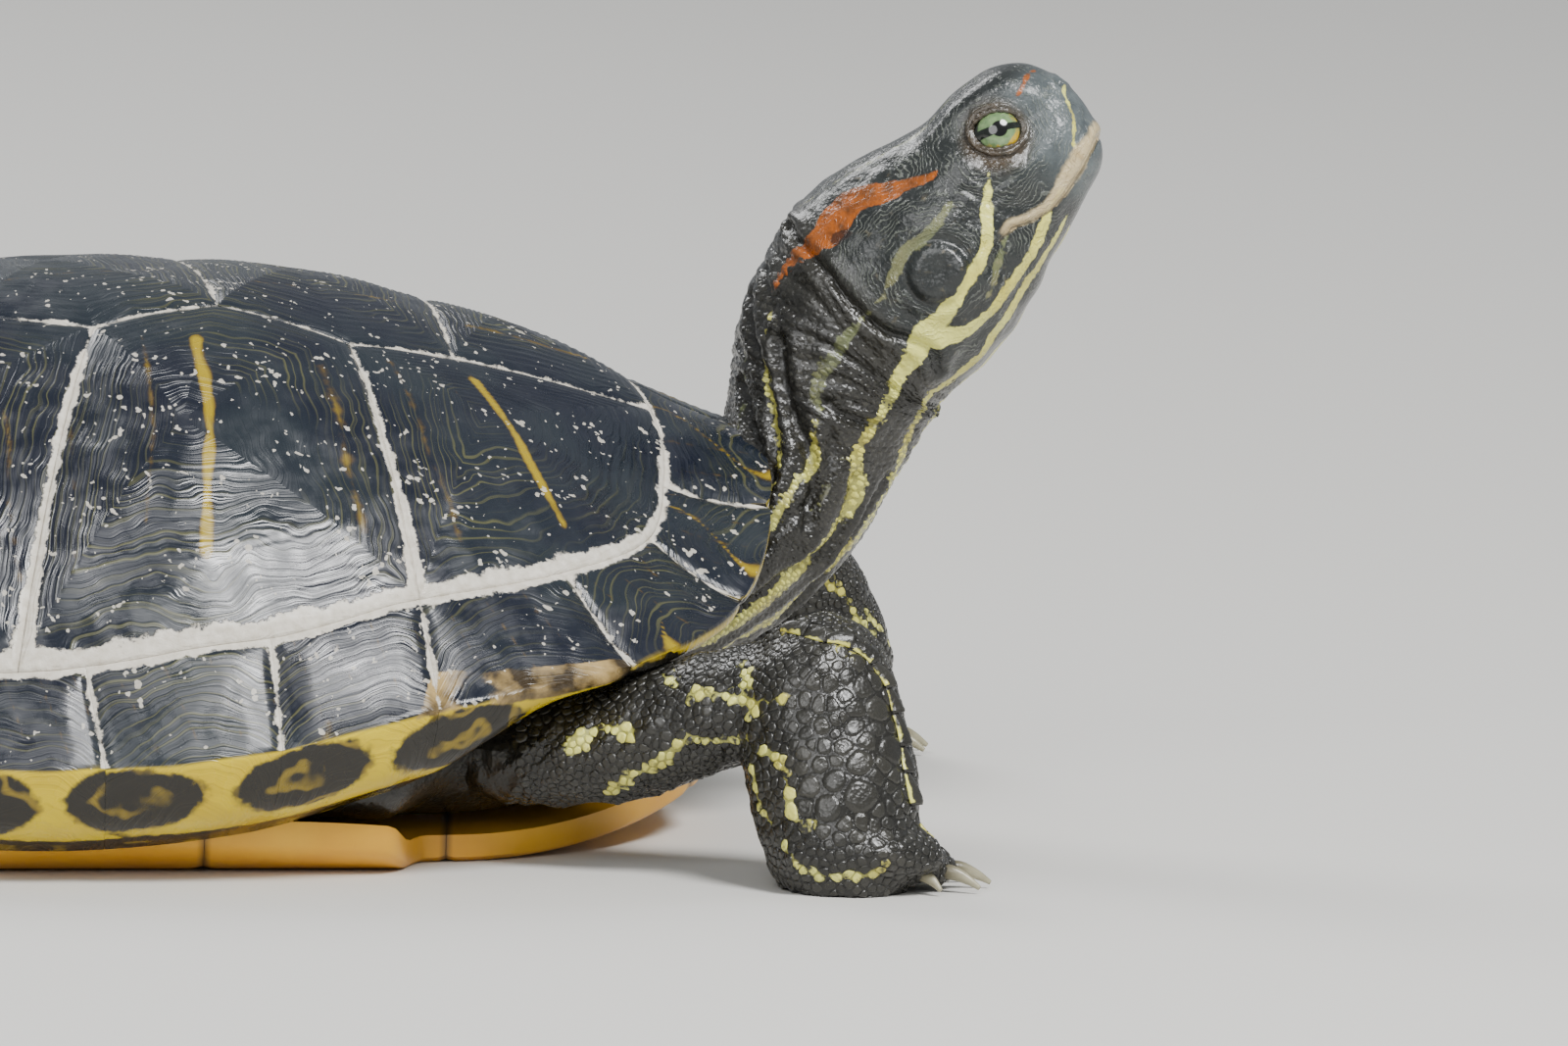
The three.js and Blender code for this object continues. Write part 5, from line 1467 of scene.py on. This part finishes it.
rolled = np.stack([17 * np.cos(whereNeck[:, 1]), 17 * np.sin(whereNeck[:, 1]),
                   whereNeck[:, 0] * scaleLooks["neck"]["stretch"]], -1)
unrolled = cornersOf(neckSkin, rolled)
spots, sizes = scatter(surfaceOf(neckSkin), neckScaleSize, 60000, 11, unrolled)
print("neck scales", len(spots))
growScales("neck_scales", scaleLooks["neck"], neckTree, spots, sizes, neckUv, neckAlong, 12)


def limbUv(name):
    corner = {"foreleg_right": (0, 0), "foreleg_left": (0.5, 0), "hindleg_right": (0, 0.5),
              "hindleg_left": (0.5, 0.5), "tail": (0, 0)}[name]
    spec = legs.get(name, legs["hindleg_right"])
    rows = tailRows if name == "tail" else spec["upper"][:-1] + spec["lower"][1:] + spec["hand"][1:]
    path = np.array([row[:3] for row in rows], float)
    if name.endswith("left"):
        path *= [1, -1, 1]
    run = np.concatenate([[0], np.cumsum(np.linalg.norm(np.diff(path, axis=0), axis=1))])

    def place(p):
        # how far along the limb's middle line, and the angle round it
        best = (1e9, 0, 0, None)
        for k in range(len(path) - 1):
            d = path[k + 1] - path[k]
            f = min(1, max(0, float((p - path[k]) @ d / (d @ d))))
            off = p - path[k] - f * d
            away = float(np.linalg.norm(off))
            if away < best[0]:
                best = (away, run[k] + f * np.linalg.norm(d), k, off)
        off, d = best[3], path[best[2] + 1] - path[best[2]]
        d = d / np.linalg.norm(d)
        u = np.cross(d, [0, 1, 0.2])
        u /= np.linalg.norm(u)
        angle = math.atan2(off @ np.cross(d, u), off @ u)
        turn = angle / (2 * math.pi) + 0.5
        return corner[0] + 0.01 + 0.48 * turn, corner[1] + 0.01 + 0.48 * best[1] / run[-1]

    return place


# the big plates on the near forearm, one by one: x, y, z and half size
forearmPlates = [(126.1, -94, 23.6, 2.9), (124.2, -92.2, 29.7, 2.3), (120.2, -99.7, 16.7, 3.1),
                 (121.7, -91.5, 33.6, 1.75), (120, -97.7, 21.7, 2.2), (121.6, -95.7, 25.5, 1.7),
                 (119.7, -94.8, 27.3, 1.65), (119.6, -93.9, 30.2, 1.5), (118.3, -93, 32, 1.25),
                 (117.4, -96.4, 24.3, 1.5), (115.7, -98.6, 19.1, 1.9), (114.4, -99.5, 14.7, 2.2),
                 (111.7, -97.4, 17.7, 1.8), (114.3, -96, 24.4, 1.4), (113.8, -97, 21.5, 1.4),
                 (114.3, -94.7, 27.6, 1.5), (111.2, -97.9, 14.5, 1.5), (118.9, -91.2, 35.4, 1.3),
                 (116.1, -93.7, 30.7, 1.2), (125.6, -97.5, 17.8, 0.9), (128.6, -95.3, 16.7, 1.2),
                 (116.4, -94.6, 28.6, 1.2), (111.1, -95.5, 23.2, 1.3), (110.6, -96, 20.7, 1.2),
                 (116.3, -95.4, 26.3, 0.9), (112.4, -95.5, 24.5, 1.0), (116, -97.2, 22.1, 1.0),
                 (117.7, -94.4, 28.9, 0.9)]
forearmMiddle = {"foreleg_right": [(120, -92, 32), (121, -97, 22), (117, -99, 14)],
                 "foreleg_left": [(146, 90, 30), (152, 93, 18)]}


def limbScaleSize(name):
    # fine scales on the upper arm and foot, bigger ones down the outside of the forearm
    def sizeAt(spots):
        if not name.startswith("fore"):
            return np.where(spots[:, 0] < -66, 1.1 + 0.3 * lumps(spots, 12, 82), 0)
        away = lineDistance(spots, forearmMiddle[name])
        size = mix(1.35 if name.endswith("right") else 1.9, 0.72, ease(away, 5, 13))
        size = size * (1 + 0.16 * lumps(spots, 7, 81))
        size = np.where(spots[:, 2] < 9, np.clip(size, 0.65, 0.8), size)
        return np.where(spots[:, 0] > (70 if name.endswith("right") else 74), size, 0)

    return sizeAt


for seed, name in enumerate(list(limbs) + ["tail"]):
    piece = tailPart if name == "tail" else limbs[name]
    sizeAt = (lambda spots: np.where(spots[:, 0] < -92, 0.85, 0.0)) if name == "tail" else limbScaleSize(name)
    byHand = forearmPlates if name == "foreleg_right" else ()
    spots, sizes = scatter(surfaceOf(piece), sizeAt, 30000, 90 + seed, None, byHand)
    print(name, "scales", len(spots))
    growScales(f"{name}_scales", scaleLooks[name], limbTrees[name], spots, sizes, limbUv(name), seed=120 + seed)

# the row of long overlapping plates down the front of each forearm, dark outside with a cream inner edge
frillLook = dict(wide=2.5, thick=0.32, lift=0.9, overlap=0.06, rings=9, sides=12)
frillLines = {"foreleg_right": ([(109.4, -81.8, 41.4), (112.1, -85.6, 41.1), (114.9, -87.9, 40.4),
                                 (118.7, -88.5, 39.8), (122, -88.6, 38.1), (124.6, -88.9, 34.9),
                                 (126.1, -90, 31.5), (126.9, -91.2, 27.9), (127.7, -93, 23.2),
                                 (128, -94.9, 19.6), (128.9, -95.8, 14.5)],
                                9),
              "foreleg_left": ([(134.5, 88, 45), (141, 90, 42), (147, 91, 36), (151.5, 92, 30), (154.5, 94, 23),
                                (157, 95, 16)],
                               8)}


def frillPlates(name):
    line, count = frillLines[name]
    tree, place = limbTrees[name], limbUv(name)
    points, faces, uvs, roots, edges, tints, pale = [], [], [], [], [], [], []
    r = np.random.default_rng(7)
    for k in range(count):
        ends = np.array([k, k + 1 + frillLook["overlap"]]) / count * (len(line) - 1)
        low, high = ends.clip(0, len(line) - 1)
        t = np.linspace(low, high, frillLook["rings"])
        path = through(line, t)
        ahead = through(line, np.minimum(t + 0.05, len(line) - 1)) - through(line, t - 0.05)
        turn = 2 * math.pi * np.arange(frillLook["sides"]) / frillLook["sides"]
        across = 0.5 - 0.5 * np.cos(turn)
        rings = []
        for n, (p, forward) in enumerate(zip(path, ahead)):
            f = n / (frillLook["rings"] - 1)
            normal = np.array(tree.find_nearest(p.tolist())[1])
            out = np.cross(forward, normal)
            out /= np.linalg.norm(out)
            out = out if out @ [1, 0, 0.6] > 0 else -out
            swell = 0.6 + 0.4 * math.sin(math.pi * 0.55 * min(1, f * 1.2))
            wide = frillLook["wide"] * swell * (1 if f < 0.95 else 0.7)
            ring = []
            for w, a in zip(across, turn):
                at, n2, _, _ = tree.find_nearest((p + out * w * wide).tolist())
                up = frillLook["lift"] * (0.1 + 0.25 * w + 0.2 * f + 0.8 * f * w)
                up = up + frillLook["thick"] * math.sin(a)
                ring.append(np.array(at) + (np.array(n2) * 0.7 + normal * 0.3) * up + out * 0.3 * w * f)
            rings.append(ring)
        plate, plateFaces = closedTube(np.array(rings))
        root = path[len(path) // 2]
        faces += [[q + len(points) for q in face] for face in plateFaces]
        centre = np.array(place(root))
        each = np.append(np.tile(across, frillLook["rings"]), [0.5, 0.5])
        f = np.append(np.repeat(np.linspace(0, 1, frillLook["rings"]), frillLook["sides"]), [0, 1])
        points += list(plate)
        uvs += [centre + 0.003 * np.array([a - 0.5, b - 0.5]) for a, b in zip(each, f)]
        roots += [root] * len(plate)
        edges += list(0.2 + 0.6 * ease(f, 0.9, 1.0))
        tints += [r.random()] * len(plate)
        pale += list(r.uniform(0.15, 0.5) - 2.1 * each - 3 * ease(f, 0.9, 0.97) - 3 * (1 - ease(f, 0.0, 0.06)))
    piece = finishCoat(f"{name}_frill", np.array(points), faces, uvs, np.array(roots), edges, tints)
    addMark(piece, "pale", pale)
    turnOutward(piece)


for name in frillLines:
    frillPlates(name)

parts = [neckSkin, *limbs.values(), tailPart, trunkPart, *lidRims()]
for piece in parts:
    piece.data.materials.clear()
    # the bare skin under the scales is darkened through edge: painted shade in the gaps between scales
    edge = 0.0 if piece.name.startswith("lidRim") else 0.85
    if piece is neckSkin:
        edge = 0.85 * (1 - ease(whereNeck[:, 0], 70, 80))
    markSkin(piece, edge=edge, tint=0.5)
skin = joined("skin", parts)
setPoints(skin, insideBox(pointsOf(skin)))
dress(skin, skinMat, "skin", "head", "lower_jaw", "neck", "trunk", "tail", *legs)
print("skin made", len(skin.data.polygons))


# eyes
def eyeMaterial():
    # a wet eye: green iris flecked with yellow, a dark bar through the pupil, a clear cornea
    made, node = newMaterial("wetReptileEye")
    where = node("TexCoord", out="Object")
    noise = {(size, detail): node("TexNoise", {"Vector": where, "Scale": 1000 / size, "Detail": detail})
             for size, detail in ((0.7, 4), (0.9, 4))}
    far, bar, gold = (node("Attribute", attribute_name=key, out="Fac") for key in ("far", "bar", "gold"))
    fine = noise[0.7, 4]
    colour = node("Mix", {0: noise[0.9, 4], 6: "#3a5c38", 7: "#93ae78"}, **rgba)
    goldMask = node("MapRange", {"Value": node("Math", {0: fine, 1: 0.8, 2: gold}, operation="MULTIPLY_ADD"),
                                 "From Min": 0.95, "From Max": 1.3}, **soft)
    colour = node("Mix", {0: goldMask, 6: colour, 7: "#c4a21c"}, **rgba)
    darkMask = node("MapRange", {"Value": node("Math", {0: fine, 1: 0.2, 2: bar}, operation="MULTIPLY_ADD"),
                                 "From Min": 0.1, "From Max": 0.3}, **soft)
    colour = node("Mix", {0: darkMask, 6: colour, 7: "#10160f"}, **rgba)
    for low, high, tint in ((1.45, 1.25, "#050605"), (3.25, 3.6, "#14170f")):
        mask = node("MapRange", {"Value": far, "From Min": low, "From Max": high}, **soft)
        colour = node("Mix", {0: mask, 6: colour, 7: tint}, **rgba)
    surface = node("BsdfPrincipled", {"Base Color": colour, "Roughness": 0.12, "IOR": 1.38, "Coat Weight": 1.0,
                                      "Coat Roughness": 0.03})
    node("OutputMaterial", {"Surface": surface})
    return made


wetEye = eyeMaterial()
for name, side in (("eye_right", -1), ("eye_left", 1)):
    out, long, high = eyeAxes(side)
    centre = np.array([eye["x"], side * eye["side"], eye["z"]])
    polar = np.linspace(0.0, math.pi, 64)[1:-1]
    turn = 2 * math.pi * np.arange(96) / 96
    circle = long * np.cos(turn)[:, None] + high * np.sin(turn)[:, None]
    ball = out * np.cos(polar)[:, None, None] + np.sin(polar)[:, None, None] * circle
    ball *= eye["radius"] - 0.06
    bulge = 0.32 * (1 - ease(polar, 0.35, 0.75))[:, None, None]
    rings = centre + ball + ball / eye["radius"] * bulge
    eyePoints, faces = closedTube(rings)
    d = eyePoints - centre
    a, b = d @ long, d @ high
    marks = {"far": np.where(d @ out > 0, np.hypot(a, b), 6),
             "bar": 1 - np.abs(b - 0.1 * a) / (0.62 + 0.25 * ease(-a, 0, 2)),
             "gold": ease(np.hypot(a, b), 1.6, 3.0) * (ease(a, 0.5, 2.4) + ease(-b, 0.8, 2.4)) * 0.7}
    piece = makePiece(f"{name}_ball", fromHead(eyePoints), faces, True, marks)
    turnOutward(piece)
    dress(piece, wetEye, "eye", name)


# claws
def clawMaterial():
    # worn keratin: translucent straw at the tip, brown at the root
    made, node = newMaterial("wornClawHorn")
    where = node("TexCoord", out="Object")
    noise = {(size, detail): node("TexNoise", {"Vector": where, "Scale": 1000 / size, "Detail": detail})
             for size, detail in ((1.6, 4), (0.8, 3))}
    root = node("Attribute", attribute_name="root", out="Fac")
    colour = node("Mix", {0: root, 6: "#b3ad90", 7: "#4c452f"}, **rgba)
    streak = node("Math", {0: noise[1.6, 4], 1: 0.5}, operation="MULTIPLY")
    colour = node("Mix", {0: streak, 6: colour, 7: "#3b3526"}, **rgba)
    normal = node("Bump", {"Height": noise[0.8, 3], "Strength": 0.3, "Distance": 0.0002})
    surface = node("BsdfPrincipled", {"Base Color": colour, "Roughness": 0.32, "IOR": 1.55, "Normal": normal})
    node("OutputMaterial", {"Surface": surface})
    return made


wornClaw = clawMaterial()
for name, spec in legs.items():
    claws = []
    for k in range(len(spec["reach"])):
        rows = toeRows(spec, k)[1]
        clawPoints, faces = ringTube(rows, 16, 22, True)
        if name.endswith("left"):
            clawPoints = clawPoints * [1, -1, 1]
            faces = [face[::-1] for face in faces]
        root = np.append(np.repeat(1 - ease(np.linspace(0, 1, 22), 0.1, 0.7), 16), [1, 0])
        claws.append(makePiece("claw", clawPoints, faces, True, {"root": root}))
    dress(joined(f"{name}_claws", claws), wornClaw, "carapace_horn")
print("eyes and claws made")

# floor, light and camera
bpy.ops.object.select_all(action="DESELECT")
bpy.ops.mesh.primitive_plane_add(size=6, location=(0, 0, 0))
floor = bpy.context.object
floor.name = "floor"
paper, node = newMaterial("paleMattPaper")
node("OutputMaterial", {"Surface": node("BsdfPrincipled", {"Base Color": "#d9d7d2", "Roughness": 0.9})})
floor.data.materials.append(paper)

world = bpy.data.worlds.new("softRoom")
bpy.context.scene.world = world
world.use_nodes = True
world.node_tree.nodes["Background"].inputs["Color"].default_value = linear("#dfe3e8")
world.node_tree.nodes["Background"].inputs["Strength"].default_value = 0.5
for place, aim, size, power in (((0.55, -0.95, 1.35), (0.08, 0, 0.05), 0.6, 34),
                                ((-0.5, -1.3, 0.8), (0.1, 0, 0.05), 0.9, 9),
                                ((-0.4, 1.1, 1.1), (0.0, 0, 0.05), 0.7, 12)):
    light = bpy.data.lights.new("softLamp", "AREA")
    light.energy, light.size, light.shape = power, size, "DISK"
    lamp = bpy.data.objects.new("softLamp", light)
    bpy.context.scene.collection.objects.link(lamp)
    lamp.location = place
    lamp.rotation_euler = (Vector(aim) - Vector(place)).to_track_quat("-Z", "Y").to_euler()

view = dict(azimuth=-12, elevation=7, roll=1.5, distance=6.0, lens=837.2, aim=(0.1208, -0.030, 0.0527))
cam = bpy.data.objects.new("camera", bpy.data.cameras.new("camera"))
bpy.context.scene.collection.objects.link(cam)
az, el = math.radians(view["azimuth"]), math.radians(view["elevation"])
back = Vector((math.sin(az) * math.cos(el), -math.cos(az) * math.cos(el), math.sin(el)))
roll = Matrix.Rotation(math.radians(view["roll"]), 4, "Z")
turn = (-back).to_track_quat("-Z", "Y").to_matrix().to_4x4() @ roll
cam.matrix_world = Matrix.Translation(Vector(view["aim"]) + back * view["distance"]) @ turn
cam.data.lens, cam.data.sensor_width = view["lens"], 36
cam.data.clip_start, cam.data.clip_end = 0.05, 20
bpy.context.scene.camera = cam
